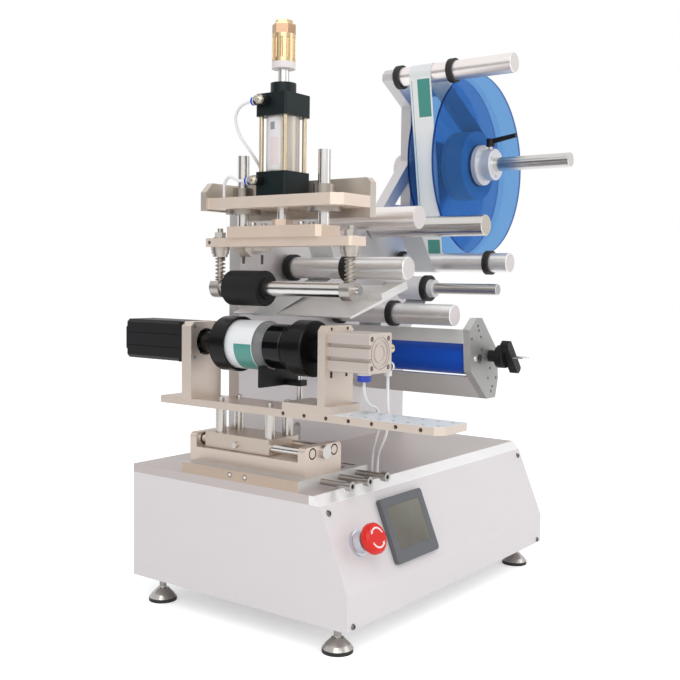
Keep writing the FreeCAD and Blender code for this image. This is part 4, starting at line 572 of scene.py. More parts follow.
ZONED: Dict[str, Finish] = {
    "levelling_feet": Finish(
        "levelling_foot", Skin((0.46, 0.435, 0.41), 0.26, 1.0), Grain.TURNED_Z, 0.0000002, 0.04,
        zones=(Zone(RUBBER, z=(None, 5.0)), Zone(DARK_STEEL, z=(20.0, None)))),
    "top_plate": Finish(
        "satin_top_plate", Skin((0.52, 0.465, 0.45), 0.46, 0.55), Grain.GRIT, 0.000002, 0.03,
        # Painted highlight: the front bevel is a pale copy of the same satin metal.
        zones=(Zone(Skin((0.80, 0.785, 0.78), 0.38, 0.45), forward=(320.0, None), z=(None, 197.7)),)),
    "locator_plate": Finish(
        "locator_plate_milled", Skin((0.48, 0.375, 0.30), 0.42, 0.65), Grain.BRUSHED_X, 0.0000015, 0.03,
        zones=(
            # Painted light: the top face and the front face are lighter copies of the plate's own milled metal.
            Zone(Skin((0.58, 0.545, 0.52), 0.42, 0.60), z=(212.3, None)),
            Zone(Skin((0.62, 0.60, 0.58), 0.42, 0.60), forward=(302.9, None)),
            Zone(Skin((0.36, 0.345, 0.33), 0.34, 1.0), forward=(303.1, None)),
            # Painted shade of the holes round the two screw ends.
            ring(Axis.X, (186.6, 206.0), 3.4, x=(None, 3.0)),
            ring(Axis.X, (186.6, 206.0), 2.3, skin=CHROME, x=(None, 3.0)),
            ring(Axis.X, (213.2, 205.6), 3.4, x=(None, 3.0)),
            ring(Axis.X, (213.2, 205.6), 2.3, skin=CHROME, x=(None, 3.0)),
        )),
    "slide_base": Finish(
        "slide_base_milled", Skin((0.66, 0.56, 0.49), 0.40, 0.65), Grain.BRUSHED_Y, 0.0000015, 0.03,
        zones=(
            Zone(CHROME, forward=(101.2, 281.8), z=(230.6, None)),
            # Painted shade in the gaps round the rod ends.
            ring(Axis.Y, (39.75, 240.9), 7.6, 5.6, forward=(281.9, None)),
            ring(Axis.Y, (85.75, 240.9), 7.6, 5.6, forward=(281.9, None)),
            ring(Axis.Y, (39.75, 240.9), 7.6, 5.6, forward=(None, 101.1)),
            ring(Axis.Y, (85.75, 240.9), 7.6, 5.6, forward=(None, 101.1)),
            Zone(STEEL, forward=(294.1, None)),
        )),
    "carriage": Finish(
        "carriage_milled", Skin((0.56, 0.475, 0.405), 0.38, 0.70), Grain.BRUSHED_Y, 0.0000015, 0.03,
        zones=(Zone(POST, z=(252.1, None)), Zone(STEEL, x=(None, 31.9)))),
    "motor_bracket": Finish(
        "motor_bracket_milled", Skin((0.66, 0.57, 0.50), 0.40, 0.75), Grain.BRUSHED_Z, 0.0000015, 0.03,
        zones=tuple(
            # Painted shade of four screw holes.
            ring(Axis.Y, (62.5 + side * 11.4, 374.0 + above), 1.7)
            for side in (-1, 1) for above in (-15.0, 14.2)
        )),
    "tail_bracket": Finish(
        "tail_bracket_milled", Skin((0.62, 0.535, 0.465), 0.42, 0.65), Grain.BRUSHED_Z, 0.0000015, 0.03,
        zones=(
            # Painted shade of two holes and two slots.
            ring(Axis.Y, (45.5, 402.0), 2.2),
            ring(Axis.Y, (79.5, 402.0), 2.2),
            Zone(HOLE_SHADE, x=(43.0, 48.0), z=(340.0, 348.0)),
            Zone(HOLE_SHADE, x=(75.5, 80.5), z=(340.0, 348.0)),
        )),
    "reel_frame": Finish(
        "reel_frame_milled", Skin((0.62, 0.60, 0.60), 0.42, 0.65), Grain.BRUSHED_Z, 0.0000015, 0.03,
        zones=(Zone(Skin((0.70, 0.65, 0.64), 0.45), forward=(None, 87.9)),)),
    "press_bracket": Finish(
        "press_bracket_milled", Skin((0.61, 0.545, 0.48), 0.38, 0.7), Grain.BRUSHED_X, 0.0000015, 0.03,
        zones=(
            ring(Axis.Y, (108.0, 505.6), 1.9, skin=CHROME, z=(None, 509.0)),
            ring(Axis.Y, (146.0, 505.6), 1.9, skin=CHROME, z=(None, 509.0)),
        )),
    "cylinder_caps": Finish(
        "cylinder_cap_black", Skin((0.005, 0.011, 0.012), 0.38), Grain.PLAIN, 0.000002, 0.12, 0.0, 0.25,
        zones=(Zone(Skin((0.60, 0.50, 0.35), 0.25, 1.0), z=(604.1, 675.9)),)),
    "air_elbows": Finish(
        "flow_control_black", BLACK, Grain.PLAIN, 0.000001, 0.1, 0.0, 0.3,
        zones=(
            Zone(BLUE_PLASTIC, forward=(None, 191.5), z=(None, 620.0)),
            Zone(BLUE_PLASTIC, forward=(None, 201.5), z=(680.0, None)),
            Zone(WHITE_PLASTIC, forward=(189.7, 191.0), z=(None, 620.0)),
            Zone(WHITE_PLASTIC, forward=(199.7, 201.0), z=(680.0, None)),
            Zone(Skin((0.76, 0.71, 0.62), 0.32, 0.8), x=(None, 23.4), forward=(197.0, None), z=(None, 620.0)),
            Zone(Skin((0.76, 0.71, 0.62), 0.32, 0.8), x=(None, 23.4), forward=(207.0, None), z=(680.0, None)),
        )),
    "tail_fittings": Finish(
        "tail_fitting_mixed", WHITE_PLASTIC, Grain.PLAIN, 0.000001, 0.03, 0.2,
        zones=(
            Zone(BRASS, forward=(362.0, 382.0), z=(371.0, None)),
            Zone(BLUE_PLASTIC, forward=(347.0, 367.0), z=(None, 345.0)),
            Zone(BLACK, x=(87.4, 96.0), forward=(362.0, 382.0), z=(350.0, 362.0)),
        )),
    "jar_rest": Finish(
        "jar_rest_black", Skin((0.006, 0.006, 0.006), 0.40), Grain.PLAIN, 0.000002, 0.15, 0.0, 0.25,
        zones=(Zone(STEEL, forward=(226.9, 235.1), x=(85.9, 94.1), z=(None, 319.9)),
               Zone(STEEL, forward=(226.9, 235.1), x=(85.9, 94.1), z=(328.1, None)))),
    "cross_bar": Finish(
        "cross_bar_milled", Skin((0.76, 0.625, 0.525), 0.42, 0.50), Grain.BRUSHED_Y, 0.000001, 0.03,
        zones=(
            Zone(Skin((0.47, 0.43, 0.39), 0.32, 1.0), z=(None, 506.9)),
            # Painted shade of the gap round the screw.
            ring(Axis.X, (104.6, 513.0), 2.6, 1.9, x=(None, 47.0)),
            ring(Axis.X, (104.6, 513.0), 1.9, skin=CHROME, x=(None, 47.0)),
        )),
    "stroke_sleeve": Finish(
        "gold_sleeve", Skin((0.62, 0.46, 0.27), 0.22, 1.0), Grain.TURNED_Z, 0.0000001, 0.03,
        zones=(
            Zone(Skin((0.70, 0.64, 0.63), 0.42), z=(730.0, 747.2)),
            Zone(Skin((0.42, 0.27, 0.17), 0.26, 1.0), z=(783.3, 795.0)),
        )),
    "spring_pins": Finish(
        "spring_pin_mixed", Skin((0.47, 0.44, 0.41), 0.30, 1.0), Grain.TURNED_Z, 0.0000002, 0.03,
        zones=(Zone(Skin((0.44, 0.41, 0.38), 0.34, 0.95), z=(None, 460.2)),)),
    "reel_spindle": Finish(
        "reel_spindle_mixed", CHROME, Grain.TURNED_Y, 0.0000001, 0.02,
        zones=(
            Zone(Skin((0.66, 0.67, 0.70), 0.34, 0.4), forward=(191.5, 224.2), around=(654.0, 674.0),
                 radius=(13.6, None)),
        )),
    "clamp_lever": Finish(
        "clamp_lever_black", BLACK, Grain.GRIT, 0.000002, 0.15, 0.0, 0.3,
        zones=(Zone(STEEL, z=(None, 706.0)),)),
    "traction_roller": Finish(
        "traction_rubber", Skin((0.002, 0.068, 0.46), 0.42), Grain.TURNED_Y, 0.000003, 0.05, 0.05, 0.3,
        zones=(Zone(STEEL, around=(372.0, 347.0), radius=(None, 7.3)),)),
    "traction_end_plate": Finish(
        "traction_plate_milled", Skin((0.56, 0.555, 0.545), 0.36, 0.70), Grain.BRUSHED_Z, 0.000001, 0.03,
        zones=(
            # Painted shade: the front face is a darker copy of the same milled metal.
            Zone(Skin((0.37, 0.365, 0.355), 0.42, 0.70), forward=(351.9, None)),
            *(ring(Axis.Y, (372.0 + across, 347.0 + above), 2.7, 1.9, DARK_STEEL, forward=(351.9, None))
              for across, above in (
                  (-7.0, 50.0), (-4.0, 43.0), (3.0, 33.0), (-25.0, 31.0), (7.0, 14.0),
                  (34.0, -16.0), (28.0, -31.0), (54.0, -32.0), (42.0, -45.0), (39.0, -52.0))),
        )),
    "support_plate": Finish(
        "support_plate_milled", WARM_PLATE, Grain.BRUSHED_Y, 0.000001, 0.03,
        # Painted highlight: the bluish-white front edge at the top.
        zones=(Zone(Skin((0.80, 0.84, 0.88), 0.44, 0.40), forward=(320.0, None), z=(294.9, None)),)),
    "chrome_roller": Finish(
        "chrome_roller_tube", CHROME, Grain.TURNED_Y, 0.0000001, 0.02,
        zones=(Zone(Skin((0.56, 0.50, 0.43), 0.40, 0.6), forward=(324.9, None)),)),
    "wing_knob": Finish(
        "wing_knob_black", BLACK, Grain.GRIT, 0.000002, 0.15, 0.0, 0.3,
        zones=(Zone(CHROME, forward=(393.4, None)), Zone(STEEL, forward=(None, 352.0)))),
    "rewind_shaft": Finish(
        "rewind_shaft_steel", STEEL, Grain.TURNED_Y, 0.000001, 0.03,
        zones=(
            Zone(Skin((0.70, 0.70, 0.70), 0.45), around=(477.0, 451.0), radius=(9.3, 20.3)),
            Zone(RUBBER, forward=(189.0, 199.1), around=(477.0, 451.0), radius=(15.0, None)),
        )),
    "top_roller": Finish(
        "top_roller_tube", TUBE_SKIN, Grain.TURNED_Y, 0.0000003, 0.02, zones=capped(334.0, 113.0, 217.0)),
    "nose_roller": Finish(
        "nose_roller_tube", WHITE_TUBE, Grain.TURNED_Y, 0.0000003, 0.02, zones=capped(325.0, 113.0, 217.0)),
    "dancer_roller": Finish(
        "dancer_roller_tube", WHITE_TUBE, Grain.TURNED_Y, 0.0000003, 0.02, zones=capped(325.0, 113.0, 282.0)),
    "return_roller": Finish(
        "return_roller_tube", WHITE_TUBE, Grain.TURNED_Y, 0.0000003, 0.02, zones=capped(331.0, 113.0, 217.0)),
    "white_roller": Finish(
        "white_roller_tube", TUBE_SKIN, Grain.TURNED_Y, 0.0000003, 0.02,
        zones=(Zone(END_CAP, forward=(338.5, None)),)),
}

SIMPLE: Dict[str, Surface] = {
    "cabinet_body": Surface.POWDER,
    "estop_base": Surface.SILVER_WHITE,
    "estop_head": Surface.RED,
    "touch_panel": Surface.BEZEL,
    "main_wall": Surface.WALL,
    "cylinder_plate": Surface.CYLINDER_SEAT,
    "guide_bearings": Surface.BEARING,
    "cylinder_barrel": Surface.BARREL,
    "roller_shafts": Surface.GROUND,
    "peel_plate": Surface.BRIGHT_PLATE,
    "traction_covers": Surface.COVER_PLATE,
    "label_web": Surface.PAPER,
    "drive_motor": Surface.RIBBED,
    "tail_cylinder": Surface.CASTING,
    "drive_cup": Surface.TURNED_BLACK,
    "jar": Surface.CLEAR,
    "jar_lid": Surface.GLOSS_BLACK,
    "tail_rod": Surface.CHROMED,
    "tail_chuck": Surface.TURNED_BLACK,
    "press_rod": Surface.CHROMED_UPRIGHT,
    "press_guide_rods": Surface.CHROMED_UPRIGHT,
    "crosshead": Surface.CROSSHEAD,
    "presser_shaft": Surface.CHROMED,
    "presser_roller": Surface.BLACK_RUBBER,
    "reel_discs": Surface.BLUE_DISC,
    "label_roll": Surface.ROLL,
}


def finish_of(node: str) -> Finish:
    """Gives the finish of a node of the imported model."""
    if node in ZONED:
        return ZONED[node]
    return SIMPLE[node].value


def dress_node(node: str, thing: bpy.types.Object) -> None:
    """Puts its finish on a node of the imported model."""
    material = finish_of(node).material()
    if not thing.material_slots:
        thing.data.materials.append(material)
    for slot in thing.material_slots:
        slot.material = material


def add_piece(
    name: str,
    shape: bmesh.types.BMesh,
    surface: Surface,
    body: str,
    smooth: bool = False,
) -> bpy.types.Object:
    """Turns a finished shape into a piece that rides on a body.

    Args:
        name: Name of the piece.
        shape: Its mesh, in place.
        surface: Its finish.
        body: Body that carries it.
        smooth: Whether its round faces are shaded smooth.

    Returns:
        The piece.
    """
    bmesh.ops.recalc_face_normals(shape, faces=shape.faces)
    mesh = bpy.data.meshes.new(name)
    shape.to_mesh(mesh)
    shape.free()
    thing = bpy.data.objects.new(name, mesh)
    bpy.context.scene.collection.objects.link(thing)
    mesh.materials.append(surface.value.material())
    if smooth:
        mesh.shade_smooth()
        mesh.set_sharp_from_angle(angle=math.radians(35))
    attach(thing, body)
    LOG.info("piece %s on %s", name, body)
    return thing


def pointing(direction: Vector, place: Vector) -> Matrix:
    """Gives the matrix that stands a shape made along +Z at a place, along a direction."""
    return Matrix.Translation(place) @ direction.to_track_quat("Z", "Y").to_matrix().to_4x4()


def join_shape(whole: bmesh.types.BMesh, part: bmesh.types.BMesh, matrix: Matrix) -> None:
    """Adds a moved copy of a shape to another shape, and frees it."""
    bmesh.ops.transform(part, matrix=matrix, verts=part.verts)
    mesh = bpy.data.meshes.new("part")
    part.to_mesh(mesh)
    part.free()
    whole.from_mesh(mesh)
    bpy.data.meshes.remove(mesh)


class Head(Enum):
    """Kinds of screw head, as height and socket depth in head radii."""

    CAP = (1.15, 0.6)
    BUTTON = (0.55, 0.3)
    FLAT = (0.12, 0.08)


def screw(radius: float, head: Head, sides: int = 18) -> bmesh.types.BMesh:
    """Makes a screw head with a hexagonal socket, standing on the origin along +Z.

    Args:
        radius: Radius of the head, in mm.
        head: Kind of head.
        sides: Faces round it.

    Returns:
        The shape.
    """
    height, socket = (value * radius / 1000.0 for value in head.value)
    size = radius / 1000.0
    shape = bmesh.new()
    bmesh.ops.create_cone(
        shape, cap_ends=True, cap_tris=False, segments=sides, radius1=size,
        radius2=size * (0.72 if head is Head.BUTTON else 1.0), depth=height,
        matrix=Matrix.Translation((0, 0, height / 2)))
    rim = [edge for edge in shape.edges if all(vert.co.z > height * 0.9 for vert in edge.verts)]
    bmesh.ops.bevel(
        shape, geom=rim, offset=0.12 * size, offset_type="OFFSET", segments=2, profile=0.5,
        affect="EDGES", material=-1)
    top = max((face for face in shape.faces if face.normal.z > 0.9), key=lambda face: face.calc_area())
    bmesh.ops.inset_individual(shape, faces=[top], thickness=0.28 * size, depth=0.0)
    across = 0.5 * size
    for vert in top.verts:
        angle = math.atan2(vert.co.y, vert.co.x) % (math.pi / 3) - math.pi / 6
        reach = across / math.cos(angle)
        flat = Vector((vert.co.x, vert.co.y, 0)).normalized() * reach
        vert.co.x, vert.co.y = flat.x, flat.y
    made = bmesh.ops.extrude_discrete_faces(shape, faces=[top])
    for face in made["faces"]:
        bmesh.ops.translate(shape, vec=(0, 0, -socket), verts=face.verts)
    return shape


@dataclass
class Screws:
    """A set of equal screws on one body."""

    name: str
    body: str
    direction: Tuple[float, float, float]
    places: Sequence[Tuple[float, float, float]]
    radius: float = 4.5
    head: Head = Head.CAP
    surface: Surface = Surface.SCREW

    def build(self) -> bpy.types.Object:
        """Makes the screws as one piece."""
        whole = bmesh.new()
        for place in self.places:
            matrix = pointing(Vector(self.direction), spot(*place))
            join_shape(whole, screw(self.radius, self.head), matrix)
        return add_piece(self.name, whole, self.surface, self.body, True)


@dataclass
class AirTubes:
    """Clear air tubes of the two cylinders, on their routes."""

    radius: float = 0.002
    routes: Dict[str, Tuple[str, List[Tuple[float, float, float]]]] = field(default_factory=lambda: {
        "upper_air_tube": ("machine", [
            (29.5, 196.5, 694.5),
            (29.5, 178.5, 694.5),
            (29.5, 163.5, 678.5),
            (33.5, 167.5, 654.5),
            (43.5, 182.5, 630.5),
            (63.5, 184.5, 608.5),
            (67.5, 184.5, 588.5),
            (67.5, 184.5, 572.0),
        ]),
        "lower_air_tube": ("machine", [
            (29.5, 186.5, 592.0),
            (29.5, 172.5, 592.0),
            (29.5, 156.5, 601.0),
            (33.5, 142.5, 593.0),
            (35.5, 140.5, 580.0),
            (35.5, 140.5, 572.0),
        ]),
        "tail_tube_side": ("carriage", [
            (93.5, 372.0, 343.0),
            (93.5, 372.0, 317.0),
            (99.5, 370.0, 289.0),
            (113.5, 358.0, 263.0),
            (133.5, 334.0, 239.0),
            (160.5, 312.0, 221.0),
            (160.5, 312.0, 198.0),
        ]),
        "tail_tube_low": ("carriage", [
            (62.5, 357.0, 337.0),
            (62.5, 357.0, 321.0),
            (76.5, 356.0, 305.0),
            (100.5, 352.0, 301.0),
            (120.5, 343.0, 277.0),
            (140.5, 323.0, 251.0),
            (160.5, 303.0, 229.0),
            (160.5, 303.0, 198.0),
        ]),
    })
    lengths: Dict[str, float] = field(default_factory=lambda: {
        "upper_air_tube": 0.157,
        "lower_air_tube": 0.068,
        "tail_tube_side": 0.185,
        "tail_tube_low": 0.195,
    })

    def build(self) -> None:
        """Makes each tube as a smooth curve in place of its solid."""
        for node, (body, route) in self.routes.items():
            points = [spot(*point) for point in route]
            curve = bpy.data.curves.new(node + "_line", "CURVE")
            curve.dimensions = "3D"
            curve.bevel_depth = self.radius
            curve.bevel_resolution = 4
            curve.resolution_u = 16
            curve.use_fill_caps = True
            spline = curve.splines.new("NURBS")
            spline.points.add(len(points) - 1)
            for point, place in zip(spline.points, points):
                point.co = (*place, 1.0)
            spline.order_u = 3
            spline.use_endpoint_u = True
            tube = bpy.data.objects.new(node + "_line", curve)
            bpy.context.scene.collection.objects.link(tube)
            curve.materials.append(Surface.TUBE.value.material())
            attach(tube, body)
            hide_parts(node)
            LOG.info("air tube %s", node)


@dataclass
class PresserSprings:
    """Round-wire springs of the presser. The real ones shorten as it floats up; these keep one length."""

    axis_x: float = 62.5
    forwards: Tuple[float, float] = (108.4, 332.6)
    coil: float = 6.2
    wire: float = 1.1
    bottom: float = 460.0
    top: float = 493.5
    end_rise: float = 2.3
    turns: int = 5
    facets: int = 20
    travel: float = 8.0

    def spring(self, forward: float) -> bmesh.types.BMesh:
        """Winds one spring with a closed turn at each end.

        Args:
            forward: Distance of its axis in front of the cabinet's back.

        Returns:
            The shape.
        """
        shape = bmesh.new()
        start = spot(self.axis_x + self.coil, forward, self.bottom + self.wire)
        made = bmesh.ops.create_circle(
            shape, cap_ends=True, segments=8, radius=self.wire / 1000.0,
            matrix=Matrix.Translation(start) @ Matrix.Rotation(math.radians(90), 4, "X"))
        live = list({edge for vert in made["verts"] for edge in vert.link_edges})
        middle_rise = self.top - self.bottom - 2.0 * self.wire - 2.0 * self.end_rise
        for turns, rise in ((1, self.end_rise), (self.turns, middle_rise), (1, self.end_rise)):
            steps = turns * self.facets
            wound = bmesh.ops.spin(
                shape, geom=live, cent=spot(self.axis_x, forward, 0.0), axis=(0, 0, 1),
                dvec=(0, 0, rise / 1000.0 / steps), angle=math.radians(360.0 * turns), steps=steps,
                use_merge=False, use_duplicate=False)
            live = [part for part in wound["geom_last"] if isinstance(part, bmesh.types.BMEdge)]
        bmesh.ops.edgeloop_fill(shape, edges=live)
        return shape

    def build(self) -> bpy.types.Object:
        """Winds both springs in place of their solids and puts them on the presser."""
        whole = bmesh.new()
        for forward in self.forwards:
            join_shape(whole, self.spring(forward), Matrix.Identity(4))
        springs = add_piece("wound_springs", whole, Surface.SPRING, "press", True)
        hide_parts("presser_springs")
        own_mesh(springs)
        return springs


@dataclass
class JarLabel:
    """Printed label wrapped round the jar."""

    axis: Tuple[float, float] = (62.5, 374.0)
    radius: float = 33.6
    back: float = 127.0
    front: float = 197.0
    wrap: float = 340.0
    start: float = 10.0
    steps: int = 68

    def build(self) -> bpy.types.Object:
        """Spins the label's edge round the jar, maps it and thickens it."""
        shape = bmesh.new()
        middle = spot(self.axis[0], 0.0, self.axis[1])
        ends = [
            shape.verts.new(spot(self.axis[0], forward, self.axis[1] - self.radius))
            for forward in (self.back, self.front)
        ]
        edge = shape.edges.new(ends)
        bmesh.ops.rotate(
            shape, verts=ends, cent=middle, matrix=Matrix.Rotation(math.radians(self.start), 3, "Y"))
        bmesh.ops.spin(
            shape, geom=[*ends, edge], cent=middle, axis=(0, 1, 0), angle=math.radians(self.wrap),
            steps=self.steps, use_merge=False, use_duplicate=False)
        layer = shape.loops.layers.uv.new("label")
        first = self.start
        for face in shape.faces:
            for loop in face.loops:
                offset = loop.vert.co - middle
                angle = math.degrees(math.atan2(-offset.x, -offset.z)) - first
                span = (self.front - self.back) / 1000.0
                across = (spot(0, self.back, 0).y - loop.vert.co.y) / span
                loop[layer].uv = (across, (angle % 360.0) / 360.0)
        bmesh.ops.solidify(shape, geom=shape.faces[:], thickness=0.00012)
        return add_piece("jar_label", shape, Surface.JAR_LABEL, "drive", True)


@dataclass
class Sticker:
    """Bare sticker on the barrel of the press cylinder."""

    axis: Tuple[float, float] = (62.5, 220.5)
    radius: float = 22.08
    low: float = 606.0
    high: float = 674.0
    start: float = -208.0
    wrap: float = 60.0
    steps: int = 20

    def build(self) -> bpy.types.Object:
        """Spins an upright edge round the barrel and thickens the sheet."""
        shape = bmesh.new()
        middle = spot(*self.axis, 0.0)
        turn = math.radians(self.start)
        reach = Vector((math.cos(turn), math.sin(turn), 0.0)) * (self.radius / 1000.0)
        ends = [
            shape.verts.new(middle + reach + Vector((0.0, 0.0, height / 1000.0)))
            for height in (self.low, self.high)
        ]
        edge = shape.edges.new(ends)
        bmesh.ops.spin(
            shape, geom=[*ends, edge], cent=middle, axis=(0, 0, 1), angle=math.radians(self.wrap),
            steps=self.steps, use_merge=False, use_duplicate=False)
        bmesh.ops.solidify(shape, geom=shape.faces[:], thickness=0.00008)
        return add_piece("barrel_sticker", shape, Surface.STICKER, "machine", True)


@dataclass
class StopArrows:
    """Two turning arrows on the head of the emergency stop."""

    place: Tuple[float, float, float] = (50.0, 359.5, 134.0)
    slope: float = 67.53678751059286
    face: float = 33.35
    inner: float = 11.2
    outer: float = 13.4
    wrap: float = 112.0
    steps: int = 16

    def arrow(self, start: float) -> bmesh.types.BMesh:
        """Makes one arrow flat on the floor, round the origin.

        Args:
            start: Angle at which its tail starts, in degrees.

        Returns:
            The shape.
        """
        shape = bmesh.new()
        ends = [shape.verts.new((radius / 1000.0, 0.0, 0.0)) for radius in (self.inner, self.outer)]
        edge = shape.edges.new(ends)
        bmesh.ops.spin(
            shape, geom=[*ends, edge], cent=(0, 0, 0), axis=(0, 0, 1), angle=math.radians(self.wrap),
            steps=self.steps, use_merge=False, use_duplicate=False)
        tip = bmesh.new()
        bmesh.ops.create_circle(tip, cap_ends=True, segments=3, radius=0.0031)
        middle = (self.inner + self.outer) / 2000.0
        join_shape(
            shape, tip,
            Matrix.Rotation(math.radians(self.wrap + 6.0), 4, "Z") @ Matrix.Translation((middle, 0.0, 0.0)))
        bmesh.ops.rotate(
            shape, verts=shape.verts, cent=(0, 0, 0), matrix=Matrix.Rotation(math.radians(start), 3, "Z"))
        return shape

    def build(self) -> bpy.types.Object:
        """Makes both arrows, thickens them and lays them on the head."""
        whole = bmesh.new()
        for start in (20.0, 200.0):
            join_shape(whole, self.arrow(start), Matrix.Identity(4))
        bmesh.ops.recalc_face_normals(whole, faces=whole.faces)
        bmesh.ops.solidify(whole, geom=whole.faces[:], thickness=0.0001)
        turn = Matrix.Rotation(math.radians(self.slope), 4, "X")
        bmesh.ops.translate(whole, vec=(0, 0, self.face / 1000.0), verts=whole.verts)
        bmesh.ops.transform(whole, matrix=Matrix.Translation(spot(*self.place)) @ turn, verts=whole.verts)
        return add_piece("stop_arrows", whole, Surface.MARK, "estop")


@dataclass
class WebLabels:
    """Labels on the web between its rollers, each a thin sheet with rounded corners."""

    web_back: float = 145.0
    width: float = 42.0
    margin: float = 1.5
    length: float = 268.0
    pitch: float = 272.0
    lift: float = 0.36

    def run(self, first: Tuple[float, float, float, int], second: Tuple[float, float, float, int]) -> List[Vector]:
        """Finds where the web's straight run between two wheels starts and ends.

        Args:
            first: x, z, radius and sense of the wheel that the run leaves.
            second: The same of the wheel that it reaches.

        Returns:
            Start, end and the outward direction on the left of the run, in mm.
        """
        x1, z1, r1, s1 = first
        x2, z2, r2, s2 = second
        length = math.hypot(x2 - x1, z2 - z1)
        angle = math.atan2(z2 - z1, x2 - x1) + math.acos((s2 * r2 - s1 * r1) / length)
        side = Vector((math.cos(angle), 0, math.sin(angle)))
        return [
            Vector((x1, 0, z1)) - side * (s1 * r1),
            Vector((x2, 0, z2)) - side * (s2 * r2),
            side,
        ]

    def label(self, start: Vector, end: Vector, side: Vector, head: float, tail: float) -> bmesh.types.BMesh:
        """Makes one label on a straight run.

        Args:
            start: Start of the run.
            end: End of the run.
            side: Direction away from the web.
            head: Share of the label's length at which the sheet starts.
            tail: Share of the label's length at which the sheet ends.

        Returns:
            The shape.
        """
        shape = bmesh.new()
        bmesh.ops.create_grid(shape, x_segments=2, y_segments=6, size=0.5)
        layer = shape.loops.layers.uv.new("label")
        for face in shape.faces:
            for loop in face.loops:
                loop[layer].uv = (loop.vert.co.x + 0.5, head + (loop.vert.co.y + 0.5) * (tail - head))
        near = self.web_back + self.margin
        far = self.web_back + self.width - self.margin
        for vert in shape.verts:
            over = near + (vert.co.x + 0.5) * (far - near)
            middle = start.lerp(end, vert.co.y + 0.5) + side * self.lift
            vert.co = spot(middle.x, over, middle.z)
        bmesh.ops.recalc_face_normals(shape, faces=shape.faces)
        outward = Vector((side.x, 0, side.z))
        if shape.faces[:][0].normal.dot(outward) < 0:
            bmesh.ops.reverse_faces(shape, faces=shape.faces)
        bmesh.ops.solidify(shape, geom=shape.faces[:], thickness=0.00010)
        return shape

    def build(self) -> None:
        """Makes the labels of the run from the top roller down to the dancer, which is in plain view."""
        top = (500.0, 814.0, 16.55, 1)
        dancer = (519.0, 495.0, 16.55, -1)
        start, end, right = self.run(top, dancer)
        side = -right
        direction = (end - start).normalized()
        total = (end - start).length
        whole = bmesh.new()
        place = 4.0
        while place < total - 6.0:
            stop = min(place + self.length, total - 4.0)
            share = (stop - place) / self.length
            sheet = self.label(start + direction * place, start + direction * stop, side, 1.0, 1.0 - share)
            join_shape(whole, sheet, Matrix.Identity(4))
            place += self.pitch
        add_piece("web_labels", whole, Surface.LABEL, "machine")


@dataclass
class Screen:
    """Glass of the touch panel, seated in its recess."""

    mid_x: float = 162.5
    width: float = 75.6
    height: float = 57.6
    lift: float = 2.5
    depth: float = 6.7
    slope: float = 67.53678751059286
    mid_forward: float = 359.5
    mid_z: float = 134.0

    def build(self) -> bpy.types.Object:
        """Makes a bevelled pane on the sloping panel."""
        shape = bmesh.new()
        bmesh.ops.create_cube(shape, size=1.0)
        bmesh.ops.scale(shape, vec=(self.width / 1000.0, self.height / 1000.0, 0.0008), verts=shape.verts)
        top = [edge for edge in shape.edges if all(vert.co.z > 0 for vert in edge.verts)]
        bmesh.ops.bevel(
            shape, geom=top, offset=0.0003, offset_type="OFFSET", segments=2, profile=0.5,
            affect="EDGES", material=-1)
        turn = Matrix.Rotation(math.radians(self.slope), 4, "X")
        bmesh.ops.translate(shape, vec=(0, self.lift / 1000.0, self.depth / 1000.0 - 0.0002), verts=shape.verts)
        bmesh.ops.transform(
            shape, matrix=Matrix.Translation(spot(self.mid_x, self.mid_forward, self.mid_z)) @ turn,
            verts=shape.verts)
        return add_piece("panel_screen", shape, Surface.SCREEN, "machine")


